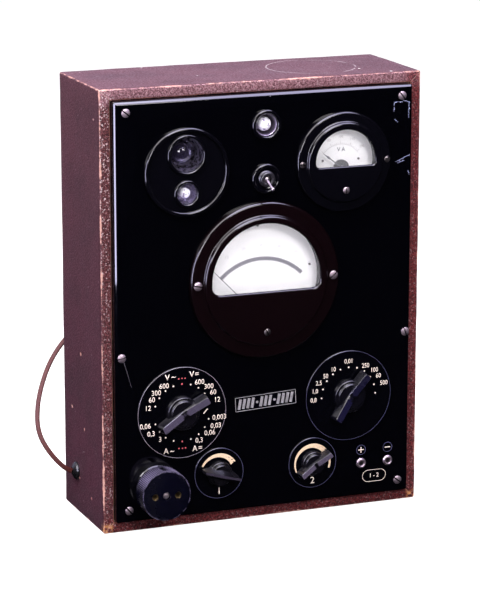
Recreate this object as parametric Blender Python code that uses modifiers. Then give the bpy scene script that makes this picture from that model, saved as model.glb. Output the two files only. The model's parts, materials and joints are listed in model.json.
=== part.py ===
"""A vintage bench test set: a leatherette-covered wooden case with a black front panel.

The panel carries two moving-coil meters, two selector switches, two potentiometers, a toggle switch,
two lamps, a tuning-eye tube, a mains outlet with a pull-out adaptor plug and two 4 mm jacks.

Lengths are in millimetres and are turned into metres as each mesh is made. Every panel piece is built
in its own local frame: local Z is the height out of the case's front plane, towards the user, local Y
points up, and local X points right. The object's origin is on the piece's own axis.
"""

import math

import bmesh
import bpy
from mathutils import Euler, Matrix, Vector

MM = 0.001
GAP = 0.3                                # clearance kept between neighbouring solids

# ---- driving dimensions -------------------------------------------------------------------------
CASE_WIDTH, CASE_DEPTH, CASE_HEIGHT = 270.0, 98.0, 355.0
BOARD = 9.0                              # thickness of the case boards
REAR_COVER = 5.0

PANEL_FACE = 6.5                         # the panel's front face stands this proud of the case
PANEL_BACK = -1.5
PANEL_EDGE_RADIUS = 2.6
ON_PANEL = PANEL_FACE + GAP              # height where pieces that lie on the panel begin
BEHIND_PANEL = PANEL_BACK - GAP

ADAPTOR_FRONT = 28.5                     # the furthest point towards the user
CLEAT_BACK = CASE_DEPTH + 14.0           # the furthest point behind
CASE_FRONT_Y = -(CLEAT_BACK - ADAPTOR_FRONT) / 2

BATTEN_WIDTH, BATTEN_DEPTH = 13.0, 14.0
INNER_X = CASE_WIDTH / 2 - BOARD - GAP
INNER_LOW, INNER_HIGH = BOARD + GAP, CASE_HEIGHT - BOARD - GAP

# ---- where things sit on the panel: x from the middle, z from the case's underside ---------------
PANEL_SCREWS = [(sx * x, z) for x, z in ((115.9, 337.0), (121.0, 144.0), (115.9, 19.4)) for sx in (-1, 1)]
EYE = (-66.7, 288.0)
EYE_CUP_RISE, EYE_LAMP_DROP = 13.5, 17.0
TOP_LAMP = (-0.5, 321.0)
TOGGLE = (-0.5, 278.3)
SMALL_METER = (65.0, 287.6)
BIG_METER = (-2.0, 197.5)
SELECTORS = {"left": (-71.4, 95.5), "right": (71.4, 95.3)}
POTS = {"left": (-40.3, 42.3), "right": (40.3, 42.3)}
OUTLET = (-92.0, 35.0)
JACKS = {"plus": (83.5, 37.0), "minus": (107.0, 37.0)}
NAMEPLATE = (-0.4, 98.2)

SELECTOR_DISC, POT_DISC, DISC_THICKNESS = 37.3, 21.0, 1.0
ON_DISC = ON_PANEL + DISC_THICKNESS + GAP
SELECTOR_TURN = {"left": 60.0, "right": 36.0}      # degrees clockwise from straight up, at rest
POT_TURN = {"left": -74.0, "right": 57.0}
SPINDLE = 3.0
SPINDLE_HOLE = 3.35

PIN_SPACING, PIN_RADIUS, PIN_LENGTH = 19.0, 2.0, 19.0
EYE_TUBE = 9.0
LEVER_TILT = 22.0                        # the toggle's lever hangs this far below straight out
METER_NEEDLE_TILT = {"small": 53.0, "big": 44.5}   # degrees left of straight up, at rest

# ---- the flex -----------------------------------------------------------------------------------
FLEX_RADIUS = 1.6
GROMMET = (66.0, 34.2)                   # depth behind the case front, height
GROMMET_HOLE = 5.3
CLEAT = (-105.0, 138.0)
CLEAT_RADIUS, CLEAT_LIP = 14.0, 18.0
COIL_CENTRE = (-52.0, 146.0)             # x, depth behind the case front
COIL_INNER, COIL_OUTER, COIL_HEIGHT = 20.6, 31.6, 9.0
FLEX_ROUTE = [
    (-139.8, 66.0, 34.4), (-145.5, 66.8, 37.8), (-152.0, 69.5, 44.5), (-157.8, 73.0, 53.0),
    (-161.8, 77.0, 62.0), (-163.2, 80.5, 71.5), (-162.0, 84.5, 82.5), (-159.0, 88.5, 93.5),
    (-153.8, 93.5, 105.0), (-147.0, 99.0, 116.0), (-138.0, 103.5, 127.0), (-127.0, 105.5, 138.5),
    (-117.2, 105.5, 150.2), (-105.0, 105.5, 155.2), (-92.8, 105.5, 150.2), (-87.9, 105.6, 138.0),
    (-88.6, 106.0, 118.0), (-88.5, 106.4, 95.0), (-88.6, 106.8, 70.0), (-88.9, 107.2, 45.0),
    (-88.4, 107.8, 27.0), (-86.6, 109.1, 14.5), (-80.8, 111.4, 6.2), (-73.2, 113.8, 2.6),
    (-66.4, 115.2, 2.1),
]
FLEX_STEP = 9.0                          # distance between the tube's own points
PLUG_FROM_COIL = (34.0, -27.0)           # the plug's cable end from the coil's centre, across and back
PLUG_BODY = (26.0, 14.0, 34.0)           # its width, thickness and length, without nose and pins

COLLECTION = "bench_test_set"
COLOURS = {
    "leatherette": ((0.115, 0.045, 0.042), 0.55, 0.0),
    "fibreboard": ((0.16, 0.09, 0.055), 0.8, 0.0),
    "pine": ((0.42, 0.27, 0.15), 0.7, 0.0),
    "black_enamel": ((0.010, 0.010, 0.014), 0.15, 0.0),
    "black_bakelite": ((0.014, 0.012, 0.013), 0.25, 0.0),
    "brown_bakelite": ((0.024, 0.012, 0.011), 0.25, 0.0),
    "engraved_disc": ((0.012, 0.012, 0.015), 0.35, 0.0),
    "nickel": ((0.52, 0.47, 0.43), 0.35, 1.0),
    "dark_steel": ((0.16, 0.15, 0.15), 0.4, 1.0),
    "brass": ((0.62, 0.44, 0.18), 0.35, 1.0),
    "clear_glass": ((0.80, 0.84, 0.86), 0.05, 0.0),
    "dial_white": ((0.86, 0.86, 0.84), 0.5, 0.0),
    "needle_black": ((0.02, 0.02, 0.02), 0.4, 0.0),
    "black_rubber": ((0.015, 0.015, 0.015), 0.6, 0.0),
    "brown_flex": ((0.11, 0.030, 0.020), 0.55, 0.0),
    "varnished_paper": ((0.30, 0.17, 0.06), 0.5, 0.0),
}


# ---- tools --------------------------------------------------------------------------------------
def clear_scene():
    for obj in list(bpy.data.objects):
        bpy.data.objects.remove(obj, do_unlink=True)


def new_collection(name):
    made = bpy.data.collections.new(name)
    bpy.context.scene.collection.children.link(made)
    return made


def material(name):
    """The named finish, made once."""
    made = bpy.data.materials.get(name)
    if made is None:
        colour, roughness, metallic = COLOURS[name]
        made = bpy.data.materials.new(name)
        made.use_nodes = True
        shader = made.node_tree.nodes["Principled BSDF"]
        shader.inputs["Base Color"].default_value = (*colour, 1.0)
        shader.inputs["Roughness"].default_value = roughness
        shader.inputs["Metallic"].default_value = metallic
    return made


def add_object(name, mesh, finish, location=(0, 0, 0), rotation=None, group=COLLECTION):
    obj = bpy.data.objects.new(name, mesh)
    bpy.data.collections[group].objects.link(obj)
    obj.location = Vector(location) * MM
    if rotation is not None:
        obj.rotation_euler = rotation
    if finish:
        mesh.materials.append(material(finish))
    return obj


def mesh_from(bm, name):
    """A mesh in metres from a bmesh in millimetres, with its faces pointing out."""
    bmesh.ops.recalc_face_normals(bm, faces=bm.faces)
    bmesh.ops.scale(bm, vec=(MM, MM, MM), verts=bm.verts)
    mesh = bpy.data.meshes.new(name)
    bm.to_mesh(mesh)
    bm.free()
    return mesh


def add_block(bm, low, high):
    """A block between two corners, added to a bmesh; returns its vertices."""
    low, high = Vector(low), Vector(high)
    place = Matrix.Translation((low + high) / 2) @ Matrix.Diagonal((*(high - low), 1.0))
    return bmesh.ops.create_cube(bm, size=1.0, matrix=place)["verts"]


def add_rod(bm, x, y, radius, low, high, steps=20, top_radius=None):
    """A rod along local Z, added to a bmesh."""
    bmesh.ops.create_cone(
        bm, cap_ends=True, segments=steps, radius1=radius,
        radius2=radius if top_radius is None else top_radius,
        depth=high - low, matrix=Matrix.Translation((x, y, (low + high) / 2)))


def block(name, low, high, finish):
    """A box placed in the case's own frame: x across, y behind the front plane, z up."""
    bm = bmesh.new()
    add_block(bm, low, high)
    return add_object(name, mesh_from(bm, name), finish, location=(0, CASE_FRONT_Y, 0))


def turned_mesh(name, profile, steps):
    """Turns a list of (radius, height) points round local Z; a loop off the axis is closed."""
    bm = bmesh.new()
    points = [bm.verts.new((radius * MM, 0, height * MM)) for radius, height in profile]
    for first, second in zip(points, points[1:]):
        if first.co.x > 0 or second.co.x > 0:
            bm.edges.new((first, second))
    if profile[0][0] > 0:
        bm.edges.new((points[-1], points[0]))
    raw = bpy.data.meshes.new(name + "_profile")
    bm.to_mesh(raw)
    bm.free()
    guide = add_object(name + "_profile", raw, None)
    screw = guide.modifiers.new("turn", "SCREW")
    screw.axis = "Z"
    screw.steps = screw.render_steps = steps
    screw.use_merge_vertices = True
    screw.merge_threshold = 0.00001
    evaluated = guide.evaluated_get(bpy.context.evaluated_depsgraph_get())
    mesh = bpy.data.meshes.new_from_object(evaluated)
    bpy.data.objects.remove(guide, do_unlink=True)
    bm = bmesh.new()
    bm.from_mesh(mesh)
    bmesh.ops.remove_doubles(bm, verts=bm.verts, dist=0.000002)
    bmesh.ops.recalc_face_normals(bm, faces=bm.faces)
    bm.to_mesh(mesh)
    bm.free()
    mesh.name = name
    return mesh


def panel_rotation(turn=0.0):
    """Stands a local frame up on the panel, turned clockwise by so many degrees as the user sees it."""
    stand = Matrix.Rotation(math.radians(90), 3, "X")
    return (stand @ Matrix.Rotation(math.radians(-turn), 3, "Z")).to_euler()


def on_panel(name, mesh, finish, centre, turn=0.0, height=0.0):
    """Places a mesh on the panel with its local origin at centre, so far out of the front plane."""
    mesh.shade_smooth()
    mesh.set_sharp_from_angle(angle=math.radians(32))
    location = (centre[0], CASE_FRONT_Y - height, centre[1])
    return add_object(name, mesh, finish, location=location, rotation=panel_rotation(turn))


def turned(name, profile, finish, centre, steps=32, turn=0.0, height=0.0):
    return on_panel(name, turned_mesh(name, profile, steps), finish, centre, turn, height)


def combine(obj, tool_mesh, operation, label):
    """Cuts or joins a mesh, given in the object's own frame, with an exact Boolean."""
    tool = add_object(f"{obj.name}_{label}", tool_mesh, None, group="cutters")
    tool.location = obj.location
    tool.rotation_euler = obj.rotation_euler
    tool.hide_render = True
    tool.display_type = "WIRE"
    modifier = obj.modifiers.new(label, "BOOLEAN")
    modifier.operation = operation
    modifier.solver = "EXACT"
    modifier.object = tool
    return obj


def drill(obj, holes, label="holes"):
    """Cuts rods out of an object; each hole is (x, y, radius, low, high) in its own frame."""
    bm = bmesh.new()
    for x, y, radius, low, high in holes:
        add_rod(bm, x, y, radius, low, high, steps=12 if radius < 6 else 28)
    return combine(obj, mesh_from(bm, label), "DIFFERENCE", label)


def cut_block(obj, low, high, label):
    bm = bmesh.new()
    add_block(bm, low, high)
    return combine(obj, mesh_from(bm, label), "DIFFERENCE", label)


# ---- the case -----------------------------------------------------------------------------------
def make_case():
    half = CASE_WIDTH / 2
    for side, sign in (("left", -1), ("right", 1)):
        outer, inner = sign * half, sign * (half - BOARD)
        block(f"case_{side}_board", (min(outer, inner), 0, 0),
              (max(outer, inner), CASE_DEPTH, CASE_HEIGHT), "leatherette")
        near = sign * (INNER_X - BATTEN_WIDTH)
        batten = block(f"{side}_panel_batten", (min(near, sign * INNER_X), -BEHIND_PANEL, INNER_LOW),
                       (max(near, sign * INNER_X), -BEHIND_PANEL + BATTEN_DEPTH, INNER_HIGH), "pine")
        drill_batten(batten, [place for place in PANEL_SCREWS if place[0] * sign > 0])
    block("case_bottom_board", (-INNER_X, 0, 0), (INNER_X, CASE_DEPTH, BOARD), "leatherette")
    block("case_top_board", (-INNER_X, 0, CASE_HEIGHT - BOARD),
          (INNER_X, CASE_DEPTH, CASE_HEIGHT), "leatherette")
    cut_grommet_hole(bpy.data.objects["case_left_board"])
    block("rear_cover", (-INNER_X, CASE_DEPTH - REAR_COVER, INNER_LOW),
          (INNER_X, CASE_DEPTH, INNER_HIGH), "fibreboard")


def drill_batten(batten, places):
    """Pilot holes for the panel screws, along the depth of the case."""
    bm = bmesh.new()
    for x, z in places:
        place = Matrix.Translation((x, -BEHIND_PANEL + 5.0, z)) @ Matrix.Rotation(math.radians(90), 4, "X")
        bmesh.ops.create_cone(bm, cap_ends=True, segments=12, radius1=1.9, radius2=1.9, depth=14.0,
                              matrix=place)
    combine(batten, mesh_from(bm, "pilots"), "DIFFERENCE", "pilots")


def cut_grommet_hole(board):
    bm = bmesh.new()
    place = Matrix.Translation((-CASE_WIDTH / 2, *GROMMET)) @ Matrix.Rotation(math.radians(90), 4, "Y")
    bmesh.ops.create_cone(bm, cap_ends=True, segments=24, radius1=GROMMET_HOLE, radius2=GROMMET_HOLE,
                          depth=BOARD * 4, matrix=place)
    combine(board, mesh_from(bm, "flex_hole"), "DIFFERENCE", "flex_hole")


# ---- the panel and its fasteners ----------------------------------------------------------------
def make_panel():
    bm = bmesh.new()
    add_block(bm, (-INNER_X, INNER_LOW, PANEL_BACK), (INNER_X, INNER_HIGH, PANEL_FACE))
    front_edges = [e for e in bm.edges if all(v.co.z > PANEL_FACE - 0.01 for v in e.verts)]
    bmesh.ops.bevel(bm, geom=front_edges, offset=PANEL_EDGE_RADIUS, segments=2, profile=0.5,
                    affect="EDGES")
    panel = on_panel("front_panel", mesh_from(bm, "front_panel"), "black_enamel", (0, 0))
    through = (PANEL_BACK - 3, PANEL_FACE + 3)
    holes = [(x, z, 2.0) for x, z in PANEL_SCREWS]
    holes += [(EYE[0], EYE[1] + EYE_CUP_RISE, 16.3), (EYE[0], EYE[1] - EYE_LAMP_DROP, 11.0)]
    holes += [(*TOP_LAMP, 9.0), (*TOGGLE, 6.6)]
    holes += [(*SMALL_METER, 30.6), (*BIG_METER, 50.6)]
    holes += [(SMALL_METER[0] + s * 36.2, SMALL_METER[1], 1.6) for s in (-1, 1)]
    holes += [(BIG_METER[0] + s * 57.4, BIG_METER[1], 1.9) for s in (-1, 1)]
    holes += [(*place, SPINDLE_HOLE + 0.4) for place in (*SELECTORS.values(), *POTS.values())]
    holes += [(*OUTLET, 17.4)] + [(*place, 3.9) for place in JACKS.values()]
    drill(panel, [(x, z, radius, *through) for x, z, radius in holes])


def make_screw(name, centre, head, seat, shank, length, slot_turn, finish="nickel"):
    """A slotted round-head screw whose head begins at height seat."""
    profile = [(0, seat + head * 0.42), (head * 0.55, seat + head * 0.38), (head * 0.9, seat + head * 0.2),
               (head, seat), (shank, seat), (shank, seat - length), (0, seat - length)]
    screw = turned(name, profile, finish, centre, steps=12, turn=slot_turn)
    cut_block(screw, (-head * 1.2, -head * 0.13, seat + head * 0.12),
              (head * 1.2, head * 0.13, seat + head), "slot")
    return screw


def make_panel_screws():
    turns = (40, 52, -12, 70, 48, 38)
    for number, (place, turn) in enumerate(zip(PANEL_SCREWS, turns), 1):
        make_screw(f"panel_screw_{number}", place, 3.7, ON_PANEL, 1.6, 16.0, turn)


# ---- the tuning eye, lamps and toggle ------------------------------------------------------------
def make_eye():
    base = ON_PANEL
    dish = [(0, base + 1.8), (31.2, base + 1.8), (32.0, base + 3.0), (33.2, base + 3.7), (34.4, base + 3.0),
            (35.0, base + 1.4), (35.0, base), (0, base)]
    escutcheon = turned("eye_escutcheon", dish, "black_bakelite", EYE, steps=36)
    drill(escutcheon, [(0, EYE_CUP_RISE, 14.6, base - 5, base + 9),
                       (0, -EYE_LAMP_DROP, 9.6, base - 5, base + 9)], "cup_openings")
    cup = [(14.9, base + 2.6), (15.7, base + 2.9), (16.0, base + 2.2), (16.0, -9.0), (EYE_TUBE + GAP, -9.0),
           (EYE_TUBE + GAP, -7.6), (12.0, -7.6), (13.6, 0.0)]
    lamp_cup = [(9.7, base + 2.6), (10.4, base + 2.9), (10.7, base + 2.2), (10.7, -5.0), (4.6, -5.0),
                (4.6, -3.6), (6.6, -3.6), (8.8, 2.0)]
    for label, profile, rise, steps in (("eye_cup", cup, EYE_CUP_RISE, 24),
                                        ("lamp_cup", lamp_cup, -EYE_LAMP_DROP, 18)):
        mesh = turned_mesh(label, profile, steps)
        mesh.transform(Matrix.Translation((0, rise * MM, 0)))
        combine(escutcheon, mesh, "UNION", label)
    tube = [(0, 2.6), (3.4, 2.2), (6.4, 0.9), (8.4, -1.2), (EYE_TUBE, -3.8), (EYE_TUBE, -46.0), (7.6, -48.0),
            (0, -48.0)]
    turned("eye_tube", tube, "clear_glass", (EYE[0], EYE[1] + EYE_CUP_RISE), steps=18)
    bulb = [(0, 6.4), (2.6, 5.6), (4.2, 3.4), (4.3, 0.0), (4.3, -18.0), (0, -18.0)]
    turned("eye_lamp_bulb", bulb, "clear_glass", (EYE[0], EYE[1] - EYE_LAMP_DROP), steps=14)


def make_top_lamp():
    base = ON_PANEL
    bezel = [(9.6, base + 3.0), (10.8, base + 3.6), (11.8, base + 2.6), (12.2, base), (8.7, base),
             (8.7, -9.0), (6.0, -9.0), (6.0, -7.4), (7.3, -7.4), (8.2, 2.0)]
    turned("top_lamp_bezel", bezel, "black_bakelite", TOP_LAMP, steps=22)
    bulb = [(0, 7.4), (3.2, 6.4), (5.2, 3.6), (5.6, 0.0), (5.6, -22.0), (0, -22.0)]
    turned("top_lamp_bulb", bulb, "clear_glass", TOP_LAMP, steps=14)


def make_toggle():
    base = ON_PANEL
    body = [(5.2, base + 3.4), (6.4, base + 4.0), (7.6, base + 3.2), (8.6, base + 2.2), (10.6, base + 2.4),
            (11.8, base + 1.4), (12.0, base), (6.2, base), (6.2, -3.0), (10.0, -3.0), (10.0, -24.0),
            (0, -24.0), (0, -4.0), (5.2, -4.0)]
    turned("toggle_switch_body", body, "black_bakelite", TOGGLE, steps=20)
    pivot = base + 0.6
    lever = [(0, 16.8), (1.1, 16.6), (1.35, 15.2), (1.05, 12.4), (0.9, 9.0), (1.1, 3.6), (3.0, 2.2),
             (3.5, 0.0), (2.6, -2.4), (0, -3.4)]
    made = turned("toggle_lever", lever, "nickel", TOGGLE, steps=12, height=pivot)
    made.rotation_euler = Euler((math.radians(90 + LEVER_TILT), 0, 0))


# ---- the meters ---------------------------------------------------------------------------------
METERS = {
    "small": {
        "centre": SMALL_METER, "flange": 40.0, "body": 32.0, "barrel": 30.0, "depth": 34.0,
        "flange_face": 4.4, "front": 14.3, "wall": 1.6, "window": 25.3, "window_rise": 0.7, "sill": -3.0,
        "corner": 3.0, "dial": 2.4, "pivot": -5.6, "needle": 21.0, "needle_half": 0.55, "tail": 3.4,
        "cover": 6.4, "movement": 15.0,
        "zero": -22.1, "zero_head": 3.0, "screw_x": 36.2, "screw_head": 2.7, "screw_shank": 1.3,
        "finish": "black_bakelite", "steps": 32,
    },
    "big": {
        "centre": BIG_METER, "flange": 62.8, "body": 52.0, "barrel": 50.0, "depth": 54.0,
        "flange_face": 5.0, "front": 14.8, "wall": 2.0, "window": 45.6, "window_rise": 0.4, "sill": -8.5,
        "corner": 6.5, "dial": 1.6, "pivot": -33.5, "needle": 64.0, "needle_half": 0.4, "tail": 9.0,
        "cover": 7.0, "movement": 13.0,
        "zero": -41.3, "zero_head": 3.1, "screw_x": 57.4, "screw_head": 3.8, "screw_shank": 1.6,
        "finish": "brown_bakelite", "steps": 40,
    },
}
NEEDLE_HEIGHT = 4.4                      # of the needle's back above the dial's face
GLASS_THICKNESS = 1.2


def window_outline(meter, grow=0.0):
    """The D-shaped window: a half circle, straight sides down to the sill, and rounded lower corners."""
    radius, rise = meter["window"] + grow, meter["window_rise"]
    sill, corner = meter["sill"] - grow, meter["corner"] + grow
    points = [(radius * math.cos(a), rise + radius * math.sin(a))
              for a in (math.pi * i / 16 for i in range(17))]
    for sign, start in ((-1, math.pi), (1, 1.5 * math.pi)):
        centre = (sign * (radius - corner), sill + corner)
        points += [(centre[0] + corner * math.cos(start + math.pi / 2 * i / 3),
                    centre[1] + corner * math.sin(start + math.pi / 2 * i / 3)) for i in range(4)]
    return points


def prism_mesh(name, outline, low, high, top_outline=None):
    """A flat outline given thickness, or a loft to a second outline with the same number of points."""
    bm = bmesh.new()
    bottom = [bm.verts.new((x, y, low)) for x, y in outline]
    top = [bm.verts.new((x, y, high)) for x, y in (top_outline or outline)]
    bm.faces.new(bottom)
    bm.faces.new(top)
    for i in range(len(outline)):
        j = (i + 1) % len(outline)
        bm.faces.new((bottom[i], bottom[j], top[j], top[i]))
    return mesh_from(bm, name)


def make_meter(size):
    meter = METERS[size]
    centre, front, wall, steps = meter["centre"], meter["front"], meter["wall"], meter["steps"]
    face, barrel = ON_PANEL + meter["flange_face"], meter["barrel"]
    body, flange = meter["body"], meter["flange"]
    inside, back = barrel - 1.6, -meter["depth"]
    shell = [(0, front), (body - 2.4, front), (body - 0.7, front - 0.8), (body, front - 2.6), (body, face),
             (flange - 2.2, face), (flange - 0.6, face - 0.8), (flange, face - 2.4), (flange, ON_PANEL),
             (barrel, ON_PANEL), (barrel, back), (0, back), (0, back + 2.0), (inside, back + 2.0),
             (inside, front - wall), (0, front - wall)]
    housing = turned_shell(f"{size}_meter_housing", shell, meter["finish"], centre, steps)
    outline = window_outline(meter)
    combine(housing, prism_mesh("window", outline, front - wall - 1, front + 0.01,
                                window_outline(meter, 1.1)), "DIFFERENCE", "window")
    drill(housing, [(0, meter["zero"], 1.75, front - wall - 2, front + 3)]
          + [(s * meter["screw_x"], 0, meter["screw_shank"] + 0.25, ON_PANEL - 3, face + 3) for s in (-1, 1)])
    make_meter_inside(size, meter, inside)
    make_meter_screws(size, meter, face)


def turned_shell(name, loop, finish, centre, steps):
    """A turned hollow body. Its wall is one outline that starts and ends on the axis, outside then inside."""
    outer_end = next(i for i in range(1, len(loop)) if loop[i][0] == 0) + 1
    shell = turned(name, loop[:outer_end], finish, centre, steps)
    combine(shell, turned_mesh("hollow", loop[outer_end:], steps), "DIFFERENCE", "hollow")
    return shell


def make_meter_inside(size, meter, inside):
    """The glass, the dial, the movement behind it, the needle and the zero screw."""
    centre, front, wall, dial = meter["centre"], meter["front"], meter["wall"], meter["dial"]
    glass_top = front - wall - GAP
    on_panel(f"{size}_meter_glass",
             prism_mesh("glass", window_outline(meter, 1.7), glass_top - GLASS_THICKNESS, glass_top),
             "clear_glass", centre)
    dial_plate = turned(f"{size}_meter_dial",
                        [(0, dial), (inside - 0.6, dial), (inside - 0.6, dial - 1.2), (0, dial - 1.2)],
                        "dial_white", centre, steps=meter["steps"])
    drill(dial_plate, [(0, meter["pivot"], 3.4, dial - 4, dial + 4)], "spindle_opening")
    neck, deep = 3.0, 8.0 - meter["depth"]
    cover, magnet = meter["cover"], meter["movement"]
    movement = [(0, dial + 2.6), (cover, dial + 2.6), (cover, dial + GAP), (neck, dial + GAP),
                (neck, dial - 1.5), (magnet, dial - 1.5), (magnet, deep), (0, deep)]
    pivot = (centre[0], centre[1] + meter["pivot"])
    turned(f"{size}_meter_movement", movement, "needle_black", pivot, steps=16)
    make_needle(size, meter, pivot)
    zero = meter["zero_head"]
    screw = turned(f"{size}_meter_zero_screw",
                   [(0, 1.3), (zero * 0.8, 1.2), (zero, 0.6), (zero, GAP), (1.5, GAP), (1.5, -wall - 1.0),
                    (0, -wall - 1.0)],
                   "nickel" if size == "small" else "dark_steel",
                   (centre[0], centre[1] + meter["zero"]), steps=16, turn=4.0 if size == "small" else 35.0,
                   height=front)
    cut_block(screw, (-zero * 1.2, -0.45, 0.75), (zero * 1.2, 0.45, 2.5), "slot")


def make_needle(size, meter, pivot):
    """A thin pointer with a short balancing tail; the small meter's has a spade near its tip."""
    length, half, tail = meter["needle"], meter["needle_half"], meter["tail"]
    spade = [(half * 0.8, length * 0.66), (half * 2.0, length * 0.76), (half * 0.6, length * 0.88)]
    right = [(half, 0.0), *(spade if size == "small" else []), (0.14, length)]
    left = [(-x, y) for x, y in reversed(right)]
    outline = [*right, *left, (-1.55, -tail), (1.55, -tail)]
    needle = on_panel(f"{size}_meter_needle", prism_mesh("needle", outline, 0.0, 0.5), "needle_black",
                      pivot, turn=-METER_NEEDLE_TILT[size], height=meter["dial"] + NEEDLE_HEIGHT)
    bm = bmesh.new()
    add_rod(bm, 0, 0, 2.2, -1.4, 0.9, steps=16)
    combine(needle, mesh_from(bm, "hub"), "UNION", "hub")


def make_meter_screws(size, meter, face):
    finish = "dark_steel" if size == "small" else "nickel"
    for number, sign in enumerate((-1, 1), 1):
        place = (meter["centre"][0] + sign * meter["screw_x"], meter["centre"][1])
        make_screw(f"{size}_meter_flange_screw_{number}", place, meter["screw_head"], face + GAP,
                   meter["screw_shank"], 11.0, 12.0 if sign < 0 else -40.0, finish)


# ---- selectors and potentiometers ---------------------------------------------------------------
def bar_mesh(name, length, thick, low, tip_high, mid_high, set_back):
    """A knob's grip bar: tallest at its tips, dipping to its middle, with slightly drawn-in ends."""
    bm = bmesh.new()
    half = length / 2
    add_block(bm, (-thick / 2, -half, low), (thick / 2, half, tip_high))
    long_edges = [e for e in bm.edges if abs(e.verts[0].co.y - e.verts[1].co.y) > length * 0.9]
    bmesh.ops.subdivide_edges(bm, edges=long_edges, cuts=5)
    for vertex in bm.verts:
        along = abs(vertex.co.y) / half
        if vertex.co.z > (low + tip_high) / 2:
            vertex.co.z = mid_high + (tip_high - mid_high) * along ** 1.2
            vertex.co.x *= 0.72
            if along > 0.99:
                vertex.co.y *= 1 - set_back / half
        else:
            vertex.co.x *= 1.35 - 0.3 * along
    edges = [e for e in bm.edges if all(v.co.z > low + 1 for v in e.verts)]
    bmesh.ops.bevel(bm, geom=edges, offset=0.7, segments=1, profile=0.5, affect="EDGES")
    return mesh_from(bm, name)


KNOBS = {
    "selector": {"skirt": 13.2, "skirt_high": 4.6, "hub": 10.6, "hub_high": 6.2, "length": 46.0,
                 "thick": 6.4, "tip": 10.6, "middle": 6.9, "low": 1.4, "set_back": 1.6, "spindle": 22.0},
    "pot": {"skirt": 9.8, "skirt_high": 4.8, "hub": 8.0, "hub_high": 6.4, "length": 32.0,
            "thick": 4.2, "tip": 11.4, "middle": 8.0, "low": 1.2, "set_back": 1.6, "spindle": 17.0},
}


def make_knob(name, kind, centre, turn):
    """A round hub with a grip bar across it, and the spindle that it drives."""
    size = KNOBS[kind]
    hub = [(0, size["hub_high"]), (size["hub"] * 0.75, size["hub_high"]),
           (size["hub"], size["hub_high"] - 0.9), (size["hub"] + 0.5, size["skirt_high"]),
           (size["skirt"] - 0.9, size["skirt_high"]), (size["skirt"], size["skirt_high"] - 1.0),
           (size["skirt"] + 0.5, 0), (SPINDLE, 0), (SPINDLE, -size["spindle"]), (0, -size["spindle"])]
    knob = turned(name, hub, "black_bakelite", centre, steps=24, turn=turn, height=ON_DISC)
    combine(knob, bar_mesh("bar", size["length"], size["thick"], size["low"], size["tip"], size["middle"],
                           size["set_back"]), "UNION", "bar")


def make_disc(name, centre, radius, steps):
    top = ON_PANEL + DISC_THICKNESS
    profile = [(SPINDLE_HOLE + 0.4, top), (radius - 0.3, top), (radius, top - 0.3), (radius, ON_PANEL),
               (SPINDLE_HOLE + 0.4, ON_PANEL)]
    turned(name, profile, "engraved_disc", centre, steps=steps)


def make_controls():
    for side, centre in SELECTORS.items():
        make_disc(f"{side}_selector_disc", centre, SELECTOR_DISC, 40)
        make_knob(f"{side}_selector_knob", "selector", centre, SELECTOR_TURN[side])
        make_switch(f"{side}_selector_switch", centre, 27.0, 34.0)
    for side, centre in POTS.items():
        make_disc(f"{side}_pot_disc", centre, POT_DISC, 28)
        make_knob(f"{side}_pot_knob", "pot", centre, POT_TURN[side])
        make_switch(f"{side}_pot_body", centre, 15.0, 20.0)


def make_switch(name, centre, radius, depth):
    """A round switch or potentiometer body behind the panel, bored for its spindle."""
    top, bottom = BEHIND_PANEL, BEHIND_PANEL - depth
    profile = [(SPINDLE_HOLE, top), (8.0, top), (8.0, top - 3.0), (radius, top - 3.0), (radius, bottom),
               (0, bottom), (0, bottom + 6.0), (SPINDLE_HOLE, bottom + 6.0)]
    turned(name, profile, "varnished_paper", centre, steps=20)


# ---- the outlet, adaptor, jacks and nameplate ----------------------------------------------------
def make_outlet():
    base = ON_PANEL
    socket = [(0, base + 1.2), (18.6, base + 1.2), (19.4, base + 0.6), (19.4, base), (17.0, base),
              (17.0, -24.0), (0, -24.0)]
    body = turned("outlet_socket", socket, "black_bakelite", OUTLET, steps=28)
    pins = [(s * PIN_SPACING / 2, 0) for s in (-1, 1)]
    drill(body, [(x, y, 2.5, -14.0, base + 4) for x, y in pins], "pin_bores")
    seat = base + 1.2 + GAP
    shape = [(0, ADAPTOR_FRONT - 0.8), (15.5, ADAPTOR_FRONT - 0.8), (16.5, ADAPTOR_FRONT),
             (19.2, ADAPTOR_FRONT), (20.4, ADAPTOR_FRONT - 1.2), (20.4, seat + 4.0), (18.0, seat + 1.6),
             (18.0, seat), (0, seat)]
    plug = turned("adaptor_plug", shape, "black_bakelite", OUTLET, steps=28)
    bm = bmesh.new()
    for x, y in pins:
        add_rod(bm, x, y, PIN_RADIUS, seat - 17.0, seat + 1.0, steps=16)
    combine(plug, mesh_from(bm, "pins"), "UNION", "pins")
    holes = [(x, y, 2.7, ADAPTOR_FRONT - 12, ADAPTOR_FRONT + 3) for x, y in pins]
    drill(plug, holes + [(0, 0, 3.4, ADAPTOR_FRONT - 3.2, ADAPTOR_FRONT + 3)], "front_holes")


def make_jacks():
    base = ON_PANEL
    for name, centre in JACKS.items():
        profile = [(2.05, base + 1.4), (2.6, base + 1.9), (3.7, base + 1.7), (4.15, base + 0.8), (4.15, base),
                   (3.5, base), (3.5, -12.0), (0, -12.0), (0, -10.5), (2.05, -10.5)]
        turned(f"{name}_jack", profile, "nickel", centre, steps=16)


def make_nameplate():
    bm = bmesh.new()
    add_block(bm, (-26.5, -6.3, ON_PANEL), (26.5, 6.3, ON_PANEL + 0.8))
    uprights = [e for e in bm.edges if abs(e.verts[0].co.z - e.verts[1].co.z) > 0.5]
    bmesh.ops.bevel(bm, geom=uprights, offset=1.0, segments=2, affect="EDGES")
    on_panel("nameplate", mesh_from(bm, "nameplate"), "nickel", NAMEPLATE, turn=-2.7)


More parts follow.
